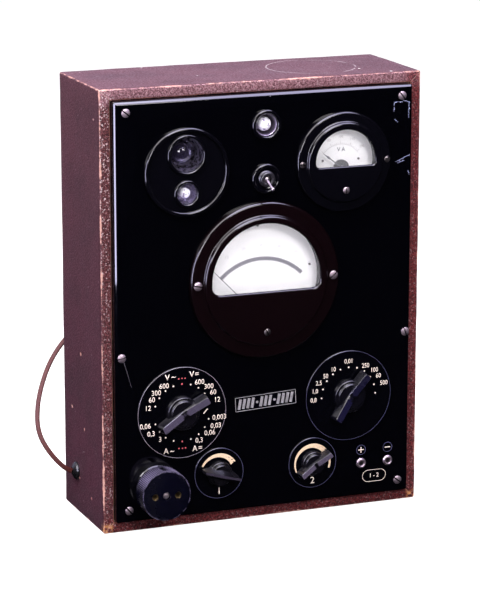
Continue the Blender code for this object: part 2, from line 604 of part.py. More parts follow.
# ---- inside and behind --------------------------------------------------------------------------
def make_transformer():
    """A mains transformer on the bottom board: a stack of laminations with its winding through it."""
    floor = BOARD + GAP
    core = block("mains_transformer", (-30, 46, floor), (30, 74, floor + 58), "dark_steel")
    bm = bmesh.new()
    add_block(bm, (-19, 38, floor + 8), (19, 82, floor + 48))
    tool = mesh_from(bm, "winding")
    combine(core, tool, "UNION", "winding")


def make_cleat():
    """The boss on the rear cover that the flex is led over."""
    start = CASE_DEPTH + GAP
    profile = [(0, -CLEAT_BACK), (CLEAT_LIP, -CLEAT_BACK), (CLEAT_LIP, -CLEAT_BACK + 2.0),
               (CLEAT_RADIUS, -CLEAT_BACK + 3.4), (CLEAT_RADIUS, -start), (0, -start)]
    turned("flex_cleat", profile, "black_bakelite", CLEAT, steps=24)


def make_grommet():
    """A rubber bush in the left board, with a bore for the flex; its local Z points out to the left."""
    bore, neck, inner_end = FLEX_RADIUS + GAP, GROMMET_HOLE - GAP, -BOARD - 2.0
    profile = [(bore, 4.0), (3.2, 4.2), (6.6, 2.4), (7.3, 1.2), (7.3, GAP), (neck, GAP), (neck, inner_end),
               (bore, inner_end)]
    mesh = turned_mesh("flex_grommet", profile, 18)
    mesh.shade_smooth()
    mesh.set_sharp_from_angle(angle=math.radians(32))
    add_object("flex_grommet", mesh, "black_rubber", (-CASE_WIDTH / 2, CASE_FRONT_Y + GROMMET[0], GROMMET[1]),
               Euler((0, math.radians(-90), 0)))


def smooth_route(points, step):
    """Points about a step apart along a Catmull-Rom curve through the route's own points."""
    ends = [Vector(points[0]) * 2 - Vector(points[1]), *map(Vector, points),
            Vector(points[-1]) * 2 - Vector(points[-2])]
    fine = []
    for a, b, c, d in zip(ends, ends[1:], ends[2:], ends[3:]):
        for i in range(20):
            t = i / 20
            fine.append(0.5 * (2 * b + (c - a) * t + (2 * a - 5 * b + 4 * c - d) * t * t
                               + (3 * b - a - 3 * c + d) * t ** 3))
    fine.append(Vector(points[-1]))
    total = sum((q - p).length for p, q in zip(fine, fine[1:]))
    count = round(total / step)
    spaced, walked, target = [fine[0]], 0.0, total / count
    for p, q in zip(fine, fine[1:]):
        span = (q - p).length
        while walked + span >= target * len(spaced) and len(spaced) < count:
            spaced.append(p.lerp(q, (target * len(spaced) - walked) / span))
        walked += span
    return [*spaced, fine[-1]]


def make_flex():
    """The flex from the grommet over the cleat to the coil, the coil's outer shape, and the mains plug."""
    curve = bpy.data.curves.new("flex_lead", "CURVE")
    curve.dimensions = "3D"
    curve.bevel_depth = FLEX_RADIUS * MM
    curve.bevel_resolution = 2
    curve.use_fill_caps = True
    points = smooth_route(FLEX_ROUTE, FLEX_STEP)
    spline = curve.splines.new("POLY")
    spline.points.add(len(points) - 1)
    for target, point in zip(spline.points, points):
        target.co = (*(point * MM), 1.0)
    curve.materials.append(material("brown_flex"))
    lead = bpy.data.objects.new("flex_lead", curve)
    bpy.data.collections[COLLECTION].objects.link(lead)
    lead.location = (0, CASE_FRONT_Y * MM, 0)
    ring = [(COIL_OUTER - 1.5, COIL_HEIGHT), (COIL_OUTER, COIL_HEIGHT - 1.5), (COIL_OUTER, 1.5),
            (COIL_OUTER - 1.5, 0), (COIL_INNER + 1.5, 0), (COIL_INNER, 1.5), (COIL_INNER, COIL_HEIGHT - 1.5),
            (COIL_INNER + 1.5, COIL_HEIGHT)]
    add_object("flex_coil", turned_mesh("flex_coil", ring, 28), "brown_flex",
               (COIL_CENTRE[0], CASE_FRONT_Y + COIL_CENTRE[1], 0))
    make_mains_plug()


def make_mains_plug():
    """A flat two-pin plug on its side beside the coil, with a tapered nose that the flex goes into."""
    width, thickness, length = PLUG_BODY
    bm = bmesh.new()
    add_block(bm, (-width / 2, -thickness / 2, 0), (width / 2, thickness / 2, length))
    bmesh.ops.bevel(bm, geom=list(bm.edges), offset=3.0, segments=1, profile=0.5, affect="EDGES")
    place = (COIL_CENTRE[0] + PLUG_FROM_COIL[0], CASE_FRONT_Y + COIL_CENTRE[1] + PLUG_FROM_COIL[1],
             thickness / 2)
    lying = Matrix.Rotation(math.radians(90), 3, "Y") @ Matrix.Rotation(math.radians(90), 3, "Z")
    plug = add_object("mains_plug", mesh_from(bm, "mains_plug"), "black_bakelite", place, lying.to_euler())
    bm = bmesh.new()
    for sign in (-1, 1):
        add_rod(bm, sign * PIN_SPACING / 2, 0, PIN_RADIUS, length - 1.0, length + PIN_LENGTH, steps=14)
    add_rod(bm, 0, 0, 2.6, -12.0, 1.0, steps=16, top_radius=4.6)
    combine(plug, mesh_from(bm, "pins_and_nose"), "UNION", "pins_and_nose")


def main():
    clear_scene()
    new_collection(COLLECTION)
    new_collection("cutters")
    make_case()
    make_panel()
    make_panel_screws()
    make_eye()
    make_top_lamp()
    make_toggle()
    for size in METERS:
        make_meter(size)
    make_controls()
    make_outlet()
    make_jacks()
    make_nameplate()
    make_transformer()
    make_cleat()
    make_grommet()
    make_flex()


main()
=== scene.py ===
"""The looks of a vintage bench test set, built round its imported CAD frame.

Pieces are modelled in millimetres in a local frame that stands on the panel: X to the user's right, Y up
and Z out towards the user, measured from the case's front plane.
"""

import json
from functools import partialmethod
from math import copysign, cos, exp, hypot, pi, radians, sin

import bmesh
import bpy
from mathutils import Matrix, Vector, noise


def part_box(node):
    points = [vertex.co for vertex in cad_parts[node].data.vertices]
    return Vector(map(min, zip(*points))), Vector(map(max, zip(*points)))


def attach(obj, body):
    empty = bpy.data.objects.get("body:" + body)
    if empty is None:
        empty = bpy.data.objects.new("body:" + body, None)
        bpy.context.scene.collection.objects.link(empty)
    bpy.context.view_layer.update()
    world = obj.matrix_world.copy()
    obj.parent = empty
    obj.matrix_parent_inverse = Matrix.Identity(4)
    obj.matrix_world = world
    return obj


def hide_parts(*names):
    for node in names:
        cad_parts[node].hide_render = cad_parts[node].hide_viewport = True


MM = 0.001
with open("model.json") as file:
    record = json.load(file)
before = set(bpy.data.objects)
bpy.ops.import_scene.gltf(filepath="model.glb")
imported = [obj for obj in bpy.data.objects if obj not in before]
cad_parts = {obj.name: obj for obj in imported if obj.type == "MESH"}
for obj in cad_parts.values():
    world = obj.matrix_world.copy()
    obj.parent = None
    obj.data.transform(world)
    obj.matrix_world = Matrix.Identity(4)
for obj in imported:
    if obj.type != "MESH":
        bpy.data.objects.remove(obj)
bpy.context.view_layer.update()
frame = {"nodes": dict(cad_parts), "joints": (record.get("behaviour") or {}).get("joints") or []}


# ---- places, read from the frame ----------------------------------------------------------------
def low(node):
    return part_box(node)[0]


def high(node):
    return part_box(node)[1]


def middle(node):
    """The centre of a node on the panel, as x and z in millimetres."""
    centre = (low(node) + high(node)) / 2 / MM
    return centre.x, centre.z


CASE_LOW, CASE_HIGH = low("case_left_board") / MM, high("case_right_board") / MM
FRONT = CASE_LOW.y                       # the case's front plane
WIDTH, DEPTH, HEIGHT = CASE_HIGH.x - CASE_LOW.x, CASE_HIGH.y - CASE_LOW.y, CASE_HIGH.z
BOARD = HEIGHT - low("case_top_board").z / MM
PANEL_LOW, PANEL_HIGH = low("front_panel") / MM, high("front_panel") / MM
PANEL_FACE = FRONT - PANEL_LOW.y         # heights are measured out of the front plane
SEAT = PANEL_FACE + 0.3                  # where the pieces on the panel start


def front_of(node):
    """How far a node's foremost point stands out of the case's front plane, in millimetres."""
    return FRONT - low(node).y / MM


def back_of(node):
    """How far a node's rearmost point stands out, which is negative behind the front plane."""
    return FRONT - high(node).y / MM


def pivot_of(joint_name):
    joint = next(j for j in frame["joints"] if j["name"] == joint_name)
    return Vector(joint["pos_m"]) / MM


# ---- meshes -------------------------------------------------------------------------------------
def finish_mesh(bm, name, sharp=32, scale=MM):
    """The finished mesh of what was drawn in millimetres, smooth except past an angle."""
    bmesh.ops.recalc_face_normals(bm, faces=bm.faces)
    bmesh.ops.scale(bm, vec=(scale,) * 3, verts=bm.verts)
    mesh = bpy.data.meshes.new(name)
    bm.to_mesh(mesh)
    bm.free()
    mesh.shade_smooth()
    mesh.set_sharp_from_angle(angle=radians(sharp))
    return mesh


def add(name, mesh, finish, body="case", matrix=None):
    obj = bpy.data.objects.new(name, mesh)
    bpy.context.collection.objects.link(obj)
    if matrix is not None:
        obj.matrix_world = matrix
    if finish is not None:
        mesh.materials.append(finish)
        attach(obj, body)
    return obj


def stand_in(obj, slot, *nodes):
    """Lets a piece replace its CAD nodes, which it hides; the kind of material it is given is not used."""
    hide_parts(*nodes)


def panel_matrix(x, z, height=0.0, turn=0.0, tilt=0.0):
    """A local frame standing on the panel, turned clockwise by so many degrees as the user sees it."""
    place = Matrix.Translation(Vector((x, FRONT - height, z)) * MM)
    return place @ Matrix.Rotation(radians(90 + tilt), 4, "X") @ Matrix.Rotation(radians(-turn), 4, "Z")


def arc(cx, cy, radius, start, end, count):
    """Points along an arc of a profile, angles in degrees."""
    return [(cx + radius * cos(radians(start + (end - start) * i / count)),
             cy + radius * sin(radians(start + (end - start) * i / count))) for i in range(count + 1)]


def lathe(bm, profile, steps, at=(0, 0)):
    """Turns (radius, height) points round local Z; ends off the axis are joined into a ring."""
    rings = []
    for radius, height in profile:
        if radius < 1e-6:
            rings.append([bm.verts.new((at[0], at[1], height))])
            continue
        rings.append([bm.verts.new((at[0] + radius * cos(2 * pi * i / steps),
                                    at[1] + radius * sin(2 * pi * i / steps), height))
                      for i in range(steps)])
    pairs = list(zip(rings, rings[1:]))
    if len(rings[0]) > 1 and len(rings[-1]) > 1:
        pairs.append((rings[-1], rings[0]))
    for a, b in pairs:
        for i in range(steps):
            j = (i + 1) % steps
            corners = [a[i % len(a)], a[j % len(a)], b[j % len(b)], b[i % len(b)]]
            unique = list(dict.fromkeys(corners))
            if len(unique) > 2:
                bm.faces.new(unique)
    return bm


def loft(bm, sections, closed=False):
    """Joins outlines of equal length, each a list of points, with capped ends unless they close."""
    rows = [[bm.verts.new(point) for point in section] for section in sections]
    count = len(rows[0])
    pairs = list(zip(rows, rows[1:])) + ([(rows[-1], rows[0])] if closed else [])
    for a, b in pairs:
        for i in range(count):
            j = (i + 1) % count
            bm.faces.new((a[i], a[j], b[j], b[i]))
    if not closed:
        bm.faces.new(rows[0])
        bm.faces.new(rows[-1])
    return bm


def box(bm, lowest, highest):
    lowest, highest = Vector(lowest), Vector(highest)
    place = Matrix.Translation((lowest + highest) / 2) @ Matrix.Diagonal((*(highest - lowest), 1.0))
    return bmesh.ops.create_cube(bm, size=1.0, matrix=place)["verts"]


def rod(bm, x, y, radius, start, end, steps=48):
    bmesh.ops.create_cone(bm, cap_ends=True, segments=steps, radius1=radius, radius2=radius,
                          depth=end - start, matrix=Matrix.Translation((x, y, (start + end) / 2)))


def boolean(mesh, tool, operation="DIFFERENCE", sharp=32):
    """The mesh after an exact Boolean with another mesh in the same local frame."""
    first, second = add("first", mesh, None), add("second", tool, None)
    modifier = first.modifiers.new("cut", "BOOLEAN")
    modifier.operation, modifier.solver, modifier.object = operation, "EXACT", second
    evaluated = first.evaluated_get(bpy.context.evaluated_depsgraph_get())
    result = bpy.data.meshes.new_from_object(evaluated)
    for obj in (first, second):
        bpy.data.objects.remove(obj, do_unlink=True)
    result.shade_smooth()
    result.set_sharp_from_angle(angle=radians(sharp))
    return result


def carve(bm, tool, name, operation="DIFFERENCE", sharp=32, tool_sharp=32):
    """The mesh of one drawing less another, or joined with it."""
    return boolean(finish_mesh(bm, name), finish_mesh(tool, "tool", tool_sharp), operation, sharp)


def turned(name, profile, finish, matrix, body="case", steps=96):
    """A piece turned from a profile and put in its place."""
    bm = lathe(bmesh.new(), profile, steps)
    return add(name, finish_mesh(bm, name), finish, body, matrix)


# ---- finishes -----------------------------------------------------------------------------------
class Nodes:
    """Helpers that add nodes to a shader tree and feed their sockets."""

    def __init__(self, tree):
        self.tree = tree
        self.texture = self.outputs("TexCoord")
        self.place = self.texture["Object"]

    def outputs(self, kind):
        return self.tree.nodes.new("ShaderNode" + kind).outputs

    def node(self, kind, inputs, output=0, **settings):
        made = self.tree.nodes.new("ShaderNode" + kind)
        for setting, value in settings.items():
            setattr(made, setting, value)
        for socket, value in inputs.items():
            self.feed(made.inputs[socket], value)
        return made.outputs[output]

    def feed(self, socket, value):
        if isinstance(value, bpy.types.NodeSocket):
            self.tree.links.new(value, socket)
        elif isinstance(value, tuple) and len(value) == 3 and socket.type == "RGBA":
            socket.default_value = (*value, 1.0)
        else:
            socket.default_value = value

    def math(self, operation, *values):
        return self.node("Math", dict(enumerate(values)), operation=operation)

    times = partialmethod(math, "MULTIPLY")
    plus = partialmethod(math, "ADD")
    minus = partialmethod(math, "SUBTRACT")
    least = partialmethod(math, "MINIMUM")
    most = partialmethod(math, "MAXIMUM")
    size = partialmethod(math, "ABSOLUTE")

    def noise(self, scale, detail=3.0, roughness=0.55):
        return self.node("TexNoise", {"Vector": self.place, "Scale": scale, "Detail": detail,
                                      "Roughness": roughness})

    def pebbles(self, scale, smooth):
        return self.node("TexVoronoi", {"Vector": self.place, "Scale": scale, "Smoothness": smooth},
                         feature="SMOOTH_F1")

    def spread(self, value, start, end, first=0.0, last=1.0):
        """Maps a value between two limits onto another pair, smoothly and clamped."""
        return self.node("MapRange", {"Value": value, "From Min": start, "From Max": end, "To Min": first,
                                      "To Max": last}, interpolation_type="SMOOTHSTEP")

    def mix(self, factor, first, second):
        made = self.tree.nodes.new("ShaderNodeMix")
        made.data_type = "RGBA"
        self.feed(made.inputs[0], factor)
        self.feed(made.inputs[6], first)
        self.feed(made.inputs[7], second)
        return made.outputs[2]

    def axes(self, vector=None):
        parts = self.tree.nodes.new("ShaderNodeSeparateXYZ")
        self.feed(parts.inputs[0], vector or self.place)
        return parts.outputs


class Finish(Nodes):
    """A procedural material: a Principled shader with nodes in front of it."""

    def __init__(self, name, colour, roughness, **sockets):
        self.material = bpy.data.materials.new(name)
        self.material.use_nodes = True
        self.shader = self.material.node_tree.nodes["Principled BSDF"]
        super().__init__(self.material.node_tree)
        for socket, value in {"Base_Color": colour, "Roughness": roughness, **sockets}.items():
            self.set(socket.replace("_", " "), value)

    def set(self, socket, value):
        self.feed(self.shader.inputs[socket], value)

    def bump(self, height, distance, strength):
        self.set("Normal", self.node("Bump", {"Height": height, "Distance": distance * MM,
                                              "Strength": strength}))


def polished(name, colour, roughness, haze, **sockets):
    """Moulded or lacquered black: slightly uneven gloss with fine dust and rub marks."""
    made = Finish(name, colour, roughness, **sockets)
    smears = made.noise(38.0, 5.0, 0.62)
    made.set("Roughness", made.spread(smears, 0.35, 0.75, roughness, roughness + haze))
    dust = made.spread(made.noise(1500.0, 2.0, 0.7), 0.70, 0.80)
    pale = tuple(c + 0.012 for c in colour)
    made.set("Base Color", made.mix(dust, colour, pale))
    made.bump(made.noise(95.0, 2.0), 0.05, 0.25)
    return made.material


def metal(name, colour, roughness, tarnish, spots=0.5):
    """Plated or bare metal with dulled patches and fine pits."""
    made = Finish(name, colour, roughness, Metallic=1.0)
    cloud = made.spread(made.noise(420.0, 4.0, 0.6), 0.42, 0.66)
    made.set("Base Color", made.mix(made.times(cloud, spots), colour, tarnish))
    made.set("Roughness", made.spread(cloud, 0.0, 1.0, roughness, roughness + 0.22))
    made.bump(made.noise(2600.0, 2.0), 0.03, 0.5)
    return made.material


ADAPTOR_RIBS, ADAPTOR_RADIUS = 90, 20.4
PIN_SPACING = 19.0                       # of a continental two-pin plug


def handled_with_painted_sheen(name, colour, haze_and_sheen_colour, roughness, above, sides=False):
    """Bakelite hazed by handling, with a painted sheen on its outward faces or a painted highlight on the
    upper part of its sides.
    """
    made = Finish(name, colour, roughness, Specular_IOR_Level=0.35)
    out = made.axes(made.texture["Normal"])[2]
    x, y, z = made.axes()
    raised = made.spread(z, above, above + 0.0006)
    patchy = made.spread(made.noise(900.0, 3.0), 0.2, 0.8, 0.6, 1.0)
    if sides:
        # Painted highlight: lavender on the rib crests of the band's upper left, with a rubbed rim.
        outward = made.times(made.spread(out, 0.5, 0.3), made.spread(y, 0.002, 0.015))
        haze = made.times(made.times(outward, raised), patchy)
        ridge = made.math("COSINE", made.times(made.math("ARCTAN2", y, x), ADAPTOR_RIBS))
        haze = made.times(haze, made.spread(ridge, -0.6, 0.6, 0.35, 1.0))
        haze = made.times(haze, made.spread(x, -0.006, -0.017, 0.55, 1.0))
        from_axis = made.math("SQRT", made.plus(made.math("POWER", x, 2.0), made.math("POWER", y, 2.0)))
        haze = made.times(haze, made.spread(from_axis, 0.0186, 0.0194))
        chafed = made.times(made.spread(from_axis, 0.0190, 0.0196),
                            made.spread(made.noise(260.0, 3.0, 0.6), 0.40, 0.62, 0.0, 0.45))
        haze = made.most(haze, made.times(chafed, made.spread(out, 0.2, 0.5)))
    else:
        # Painted sheen on the outward faces above a height, in patches.
        haze = made.times(made.times(made.spread(out, 0.93, 0.975), raised), patchy)
    made.set("Base Color", made.mix(haze, colour, haze_and_sheen_colour))
    made.set("Roughness", made.spread(made.noise(60.0, 4.0), 0.35, 0.75, roughness, roughness + 0.15))
    made.bump(made.noise(1400.0, 2.0), 0.03, 0.4)
    return made.material


def plain(name, colour, roughness, scale=600.0, depth=0.03, vary=0.12, **sockets):
    """A matt or printed surface with a slight mottle and a fine tooth."""
    made = Finish(name, colour, roughness, **sockets)
    mottle = made.noise(scale, 4.0, 0.6)
    darker = tuple(c * (1 - vary) for c in colour)
    made.set("Base Color", made.mix(made.spread(mottle, 0.35, 0.7), colour, darker))
    made.bump(mottle, depth, 0.5)
    return made.material


def glass(name, colour=(0.9, 0.92, 0.95), alpha=0.12, roughness=0.04):
    made = Finish(name, colour, roughness, Alpha=alpha, IOR=1.5)
    made.set("Roughness", made.spread(made.noise(120.0, 3.0), 0.4, 0.8, roughness, roughness + 0.06))
    return made.material


# Worn spots on the leatherette: place and radius in millimetres, and colour.
SPOTS = [
    ((-WIDTH / 2, FRONT + 52.9, 134.5), 1.5, (0.62, 0.33, 0.24)),
    ((-WIDTH / 2, FRONT + 76.9, 85.5), 1.3, (0.60, 0.34, 0.28)),
    ((-WIDTH / 2, FRONT + 46.0, 74.0), 1.2, (0.58, 0.30, 0.22)),
    ((-WIDTH / 2, FRONT + 14.1, 330.0), 0.8, (0.50, 0.30, 0.28)),
    ((-WIDTH / 2, FRONT + 60.0, 30.0), 0.9, (0.50, 0.24, 0.20)),
    ((-WIDTH / 2, FRONT + 30.0, 21.0), 0.9, (0.48, 0.20, 0.18)),
    ((93.2, FRONT + 26.9, HEIGHT), 1.0, (0.85, 0.82, 0.80)),
    ((111.9, FRONT + 6.1, HEIGHT), 1.1, (0.85, 0.82, 0.80)),
    ((-67.6, FRONT + 93.1, HEIGHT), 0.7, (0.70, 0.62, 0.62)),
    ((-40.0, FRONT + 40.0, HEIGHT), 0.6, (0.60, 0.52, 0.54)),
]
CUP_RING, CUP_RING_RADIUS = (61.0, FRONT + 50.0, HEIGHT), 36.0


def bulb_with_painted_reflection():
    """A small bulb with a painted reflection of a bright reflector: white, with dark patches."""
    made = Finish("bulb_painted_reflection", (0.9, 0.9, 0.96), 0.08, IOR=1.5)
    # Painted reflection: dark patches in the white.
    painted_reflection_patches = made.spread(made.noise(330.0, 2.0, 0.5), 0.56, 0.64)
    made.set("Base Color", made.mix(painted_reflection_patches, (0.93, 0.93, 1.0), (0.20, 0.16, 0.30)))
    return made.material


def leatherette():
    """Reddish-brown grained cloth: pebbles, a painted mauve sheen on top, painted glints and shading, rubbed
    edges, and wood at the corners.
    """
    made = Finish("worn_leatherette", (0.09, 0.035, 0.035), 0.5, Specular_IOR_Level=0.14)
    times, plus, minus, size = made.times, made.plus, made.minus, made.size
    least, most, mix, noise, spread = made.least, made.most, made.mix, made.noise, made.spread
    x, y, z = made.axes()
    gap_x = minus(WIDTH / 2 * MM, size(x))
    half_y, middle_y = DEPTH / 2 * MM, (FRONT + DEPTH / 2) * MM
    from_middle_y = size(minus(y, middle_y))
    gap_y = minus(half_y, from_middle_y)
    from_middle_z = size(minus(z, HEIGHT / 2 * MM))
    gap_z = minus(HEIGHT / 2 * MM, from_middle_z)
    small, large = least(gap_x, gap_y), most(gap_x, gap_y)
    edge = least(large, most(small, gap_z))
    corner = most(large, gap_z)
    forward = spread(y, (FRONT + 1.2) * MM, (FRONT + 0.2) * MM)
    pebble = made.pebbles(700.0, 0.25)
    wrinkle = noise(640.0, 3.0, 0.6)
    fine = noise(2100.0, 2.0, 0.6)
    grain = plus(times(pebble, 0.7), plus(times(wrinkle, 0.9), times(fine, 0.25)))
    cloudy = noise(26.0, 4.0, 0.6)
    # Painted shading: the cloth is darker towards the bottom and lighter towards the top.
    shading_by_height = spread(z, 0.0, HEIGHT * MM)
    colour = mix(shading_by_height, (0.056, 0.0062, 0.0180), (0.074, 0.0205, 0.0290))
    colour = mix(times(spread(cloudy, 0.4, 0.7), 0.5), colour, (0.027, 0.006, 0.010))
    # Painted sheen: a blotchy mauve bloom over the top face.
    dusty = times(spread(z, (HEIGHT - 2.0) * MM, (HEIGHT - 0.6) * MM),
                  spread(noise(60.0, 5.0, 0.65), 0.3, 0.7, 0.07, 0.19))
    colour = mix(dusty, colour, (0.26, 0.15, 0.18))
    mottle = spread(noise(820.0, 3.0, 0.65), 0.40, 0.60)
    colour = mix(forward, colour, mix(mottle, (0.024, 0.003, 0.004), (0.125, 0.036, 0.040)))
    top_rail = times(spread(z, (HEIGHT - 15) * MM, (HEIGHT - 9) * MM), forward)
    colour = mix(times(top_rail, 0.75), colour, mix(mottle, (0.130, 0.052, 0.064), (0.34, 0.180, 0.212)))
    low_or_right = most(spread(x, (WIDTH / 2 - 16) * MM, (WIDTH / 2 - 9) * MM), spread(z, 15 * MM, 9 * MM))
    colour = mix(times(times(low_or_right, forward), 0.75), colour,
                 mix(mottle, (0.030, 0.0025, 0.0030), (0.160, 0.014, 0.015)))
    # Painted glints: pale tips of the grain on the front frame, most on the left strip and more so higher up.
    leftward = times(spread(x, (15 - WIDTH / 2) * MM, (8 - WIDTH / 2) * MM), forward)
    painted_glint_tips = times(spread(noise(640.0, 3.0, 0.6), 0.57, 0.64),
                 plus(times(forward, 0.16), times(leftward, spread(z, 0.14, 0.30, 0.10, 0.46))))
    colour = mix(painted_glint_tips, colour, (0.74, 0.60, 0.62))
    colour = mix(spread(grain, 0.66, 1.0, 0.45, 0.0), colour, (0.022, 0.006, 0.008))
    uneven = plus(minus(noise(230.0, 5.0, 0.75), 0.5), times(minus(noise(40.0, 3.0), 0.5), 1.2))
    ragged = plus(edge, times(uneven, 0.0042))
    rubbed = spread(ragged, 0.0011, 0.0001, 0.0, 0.85)
    colour = mix(rubbed, colour, mix(noise(520.0, 3.0), (0.40, 0.15, 0.11), (0.78, 0.50, 0.43)))
    frame_gap = least(gap_x, gap_z)
    inner = times(spread(plus(frame_gap, times(uneven, 0.0012)), (BOARD - 1.1) * MM, (BOARD - 0.5) * MM),
                  forward)
    colour = mix(times(inner, 0.55), colour, (0.36, 0.13, 0.08))
    low_front = times(spread(z, 0.012, 0.004), spread(y, (FRONT + 8) * MM, FRONT * MM))
    bare = times(low_front, spread(corner, 0.0095, 0.004))
    bare = times(bare, spread(noise(260.0, 4.0), 0.44, 0.56))
    colour = mix(bare, colour, (0.55, 0.25, 0.09))
    nick = spread(noise(74.0, 6.0, 0.75), 0.735, 0.755)
    colour = mix(nick, colour, (0.50, 0.27, 0.17))
    mitre = size(minus(gap_x, gap_z))
    mitre = times(spread(mitre, 0.0006, 0.0002), forward)
    colour = mix(times(mitre, 0.40), colour, (0.42, 0.25, 0.20))
    shaky = times(minus(noise(700.0, 3.0, 0.7), 0.5), 0.0022)
    for spot, radius, shade in SPOTS:
        away = made.node("VectorMath", {0: made.place, 1: tuple(c * MM for c in spot)}, 1,
                         operation="DISTANCE")
        worn = spread(plus(away, shaky), (radius + 0.4) * MM, (radius - 0.3) * MM)
        colour = mix(worn, colour, shade)
    from_cup = made.node("VectorMath", {0: made.place, 1: tuple(c * MM for c in CUP_RING)}, 1,
                         operation="DISTANCE")
    ring = size(minus(from_cup, CUP_RING_RADIUS * MM))
    broken = most(spread(noise(38.0, 3.0), 0.47, 0.60, 0.0, 0.42),
                  spread(x, (CUP_RING[0] + 4) * MM, (CUP_RING[0] - 24) * MM, 0.0, 0.36))
    colour = mix(times(spread(ring, 0.0009, 0.0002), broken), colour, (0.62, 0.56, 0.58))
    flecks = times(spread(noise(430.0, 2.0, 0.5), 0.735, 0.76), 0.5)
    colour = mix(flecks, colour, (0.62, 0.52, 0.54))
    made.set("Base Color", colour)
    made.set("Roughness", spread(grain, 0.6, 1.2, 0.66, 0.40))
    depth = minus(grain, times(mitre, 0.8))
    made.bump(depth, 0.28, 0.8)
    made.set("Sheen Weight", 0.06)
    made.set("Sheen Roughness", 0.4)
    made.set("Sheen Tint", (0.80, 0.70, 0.85))
    return made.material


# ---- camera, lights and floor -------------------------------------------------------------------
CAMERA_TURN, CAMERA_RISE, CAMERA_DISTANCE, LENS = -21.316, 13.4, 2226.0, 169.0
TARGET = (-19.4, 0.0, 180.6)             # in the case's own front plane


def make_camera():
    data = bpy.data.cameras.new("camera")
    data.lens, data.sensor_width = LENS, 36.0
    camera = bpy.data.objects.new("camera", data)
    bpy.context.collection.objects.link(camera)
    turn, rise = radians(CAMERA_TURN), radians(CAMERA_RISE)
    back = Vector((sin(turn) * cos(rise), -cos(turn) * cos(rise), sin(rise)))
    target = Vector((TARGET[0], FRONT + TARGET[1], TARGET[2]))
    camera.location = (target + back * CAMERA_DISTANCE) * MM
    camera.rotation_euler = (-back).to_track_quat("-Z", "Y").to_euler()
    data.clip_start, data.clip_end = 0.05, 40.0
    bpy.context.scene.camera = camera


def soft_box(name, place, aim, size, power, colour, gloss_only=False):
    data = bpy.data.lights.new(name, "AREA")
    data.shape, data.size, data.size_y = "RECTANGLE", size[0], size[1]
    data.energy, data.color = power, colour
    lamp = bpy.data.objects.new(name, data)
    bpy.context.collection.objects.link(lamp)
    lamp.location = place
    lamp.rotation_euler = (Vector(aim) - Vector(place)).to_track_quat("-Z", "Y").to_euler()
    if gloss_only:
        lamp.visible_diffuse = lamp.visible_camera = False


def make_stage():
    """A white floor and surround, kept out of the panel's gloss, under large soft boxes."""
    world = bpy.data.worlds.new("studio")
    world.use_nodes = True
    sky = Nodes(world.node_tree)
    rays = sky.outputs("LightPath")
    behind = sky.spread(sky.axes(sky.texture["Generated"])[1], 0.12, 0.60)
    backdrop = sky.mix(behind, (0.003, 0.003, 0.005), (0.80, 0.78, 1.10))
    fill = sky.mix(rays["Is Glossy Ray"], (0.10, 0.10, 0.12), backdrop)
    seen = sky.mix(rays["Is Camera Ray"], fill, (1.0, 1.0, 1.0))
    sky.feed(world.node_tree.nodes["Background"].inputs["Color"], seen)
    bpy.context.scene.world = world
    made = Finish("pale_floor", (0.5, 0.5, 0.5), 0.9, Specular_IOR_Level=0.0)
    rays = made.outputs("LightPath")
    made.set("Base Color", made.mix(rays["Is Glossy Ray"], (0.5, 0.5, 0.5), (0.003, 0.003, 0.004)))
    made.set("Emission Color", (1.0, 1.0, 1.0))
    made.set("Emission Strength", made.times(rays["Is Camera Ray"], 0.90))
    bm = bmesh.new()
    bmesh.ops.create_grid(bm, x_segments=1, y_segments=1, size=9.0)
    mesh = finish_mesh(bm, "floor", scale=1.0)
    floor = add("floor", mesh, None)
    mesh.materials.append(made.material)
    floor.location.z = -0.0004
    soft_box("overhead", (-0.55, -0.35, 1.55), (0, 0, 0.2), (1.6, 1.6), 74, (0.97, 0.92, 0.98))
    soft_box("front", (0.4, -2.4, 1.5), (0, 0, 0.15), (0.9, 0.6), 42, (1.0, 0.97, 0.98))
    soft_box("overhead_gloss", (0.25, -0.55, 1.5), (0, 0, 0.2), (1.5, 0.9), 74, (0.72, 0.68, 1.0), True)
    soft_box("left_gloss", (-0.50, -0.21, 0.27), (-0.12, -0.05, 0.30), (0.13, 0.30), 4.2,
             (0.72, 0.69, 1.0), True)
    soft_box("dome_gloss", (-0.73, -1.0, 0.60), (-0.08, -0.05, 0.28), (0.36, 0.36), 12,
             (0.95, 0.92, 1.0), True)


# ---- the flex -----------------------------------------------------------------------------------
FLEX_WIDE, FLEX_THICK = 3.9, 2.5
FLEX_ROUTE = [
    (-139.8, 66.0, 34.4), (-145.5, 66.8, 37.8), (-152.0, 69.5, 44.5), (-157.8, 73.0, 53.0),
    (-161.8, 77.0, 62.0), (-163.2, 80.5, 71.5), (-162.0, 84.5, 82.5), (-159.0, 88.5, 93.5),
    (-153.8, 93.5, 105.0), (-147.0, 99.0, 116.0), (-138.0, 103.5, 127.0), (-127.0, 105.5, 138.5),
    (-117.2, 105.5, 150.2), (-105.0, 105.5, 155.2), (-92.8, 105.5, 150.2), (-87.9, 105.6, 138.0),
    (-88.6, 106.0, 118.0), (-88.5, 106.4, 95.0), (-88.6, 106.8, 70.0), (-88.9, 107.2, 45.0),
    (-88.4, 107.8, 27.0), (-86.6, 109.1, 14.5), (-80.8, 111.4, 6.2), (-73.2, 113.8, 2.6),
    (-66.4, 115.2, 2.1),
]
COIL_CENTRE = (-52.0, 146.0)
COIL_RADII = (22.2, 24.8, 27.4, 30.0)
COIL_LEVELS = (2.1, 6.5)


def catmull_rom(points, per_span):
    """Points along a smooth curve through the given ones."""
    ends = [points[0] * 2 - points[1], *points, points[-1] * 2 - points[-2]]
    fine = []
    for a, b, c, d in zip(ends, ends[1:], ends[2:], ends[3:]):
        for i in range(per_span):
            t = i / per_span
            fine.append(0.5 * (2 * b + (c - a) * t + (2 * a - 5 * b + 4 * c - d) * t * t
                               + (3 * b - a - 3 * c + d) * t ** 3))
    return [*fine, points[-1]]


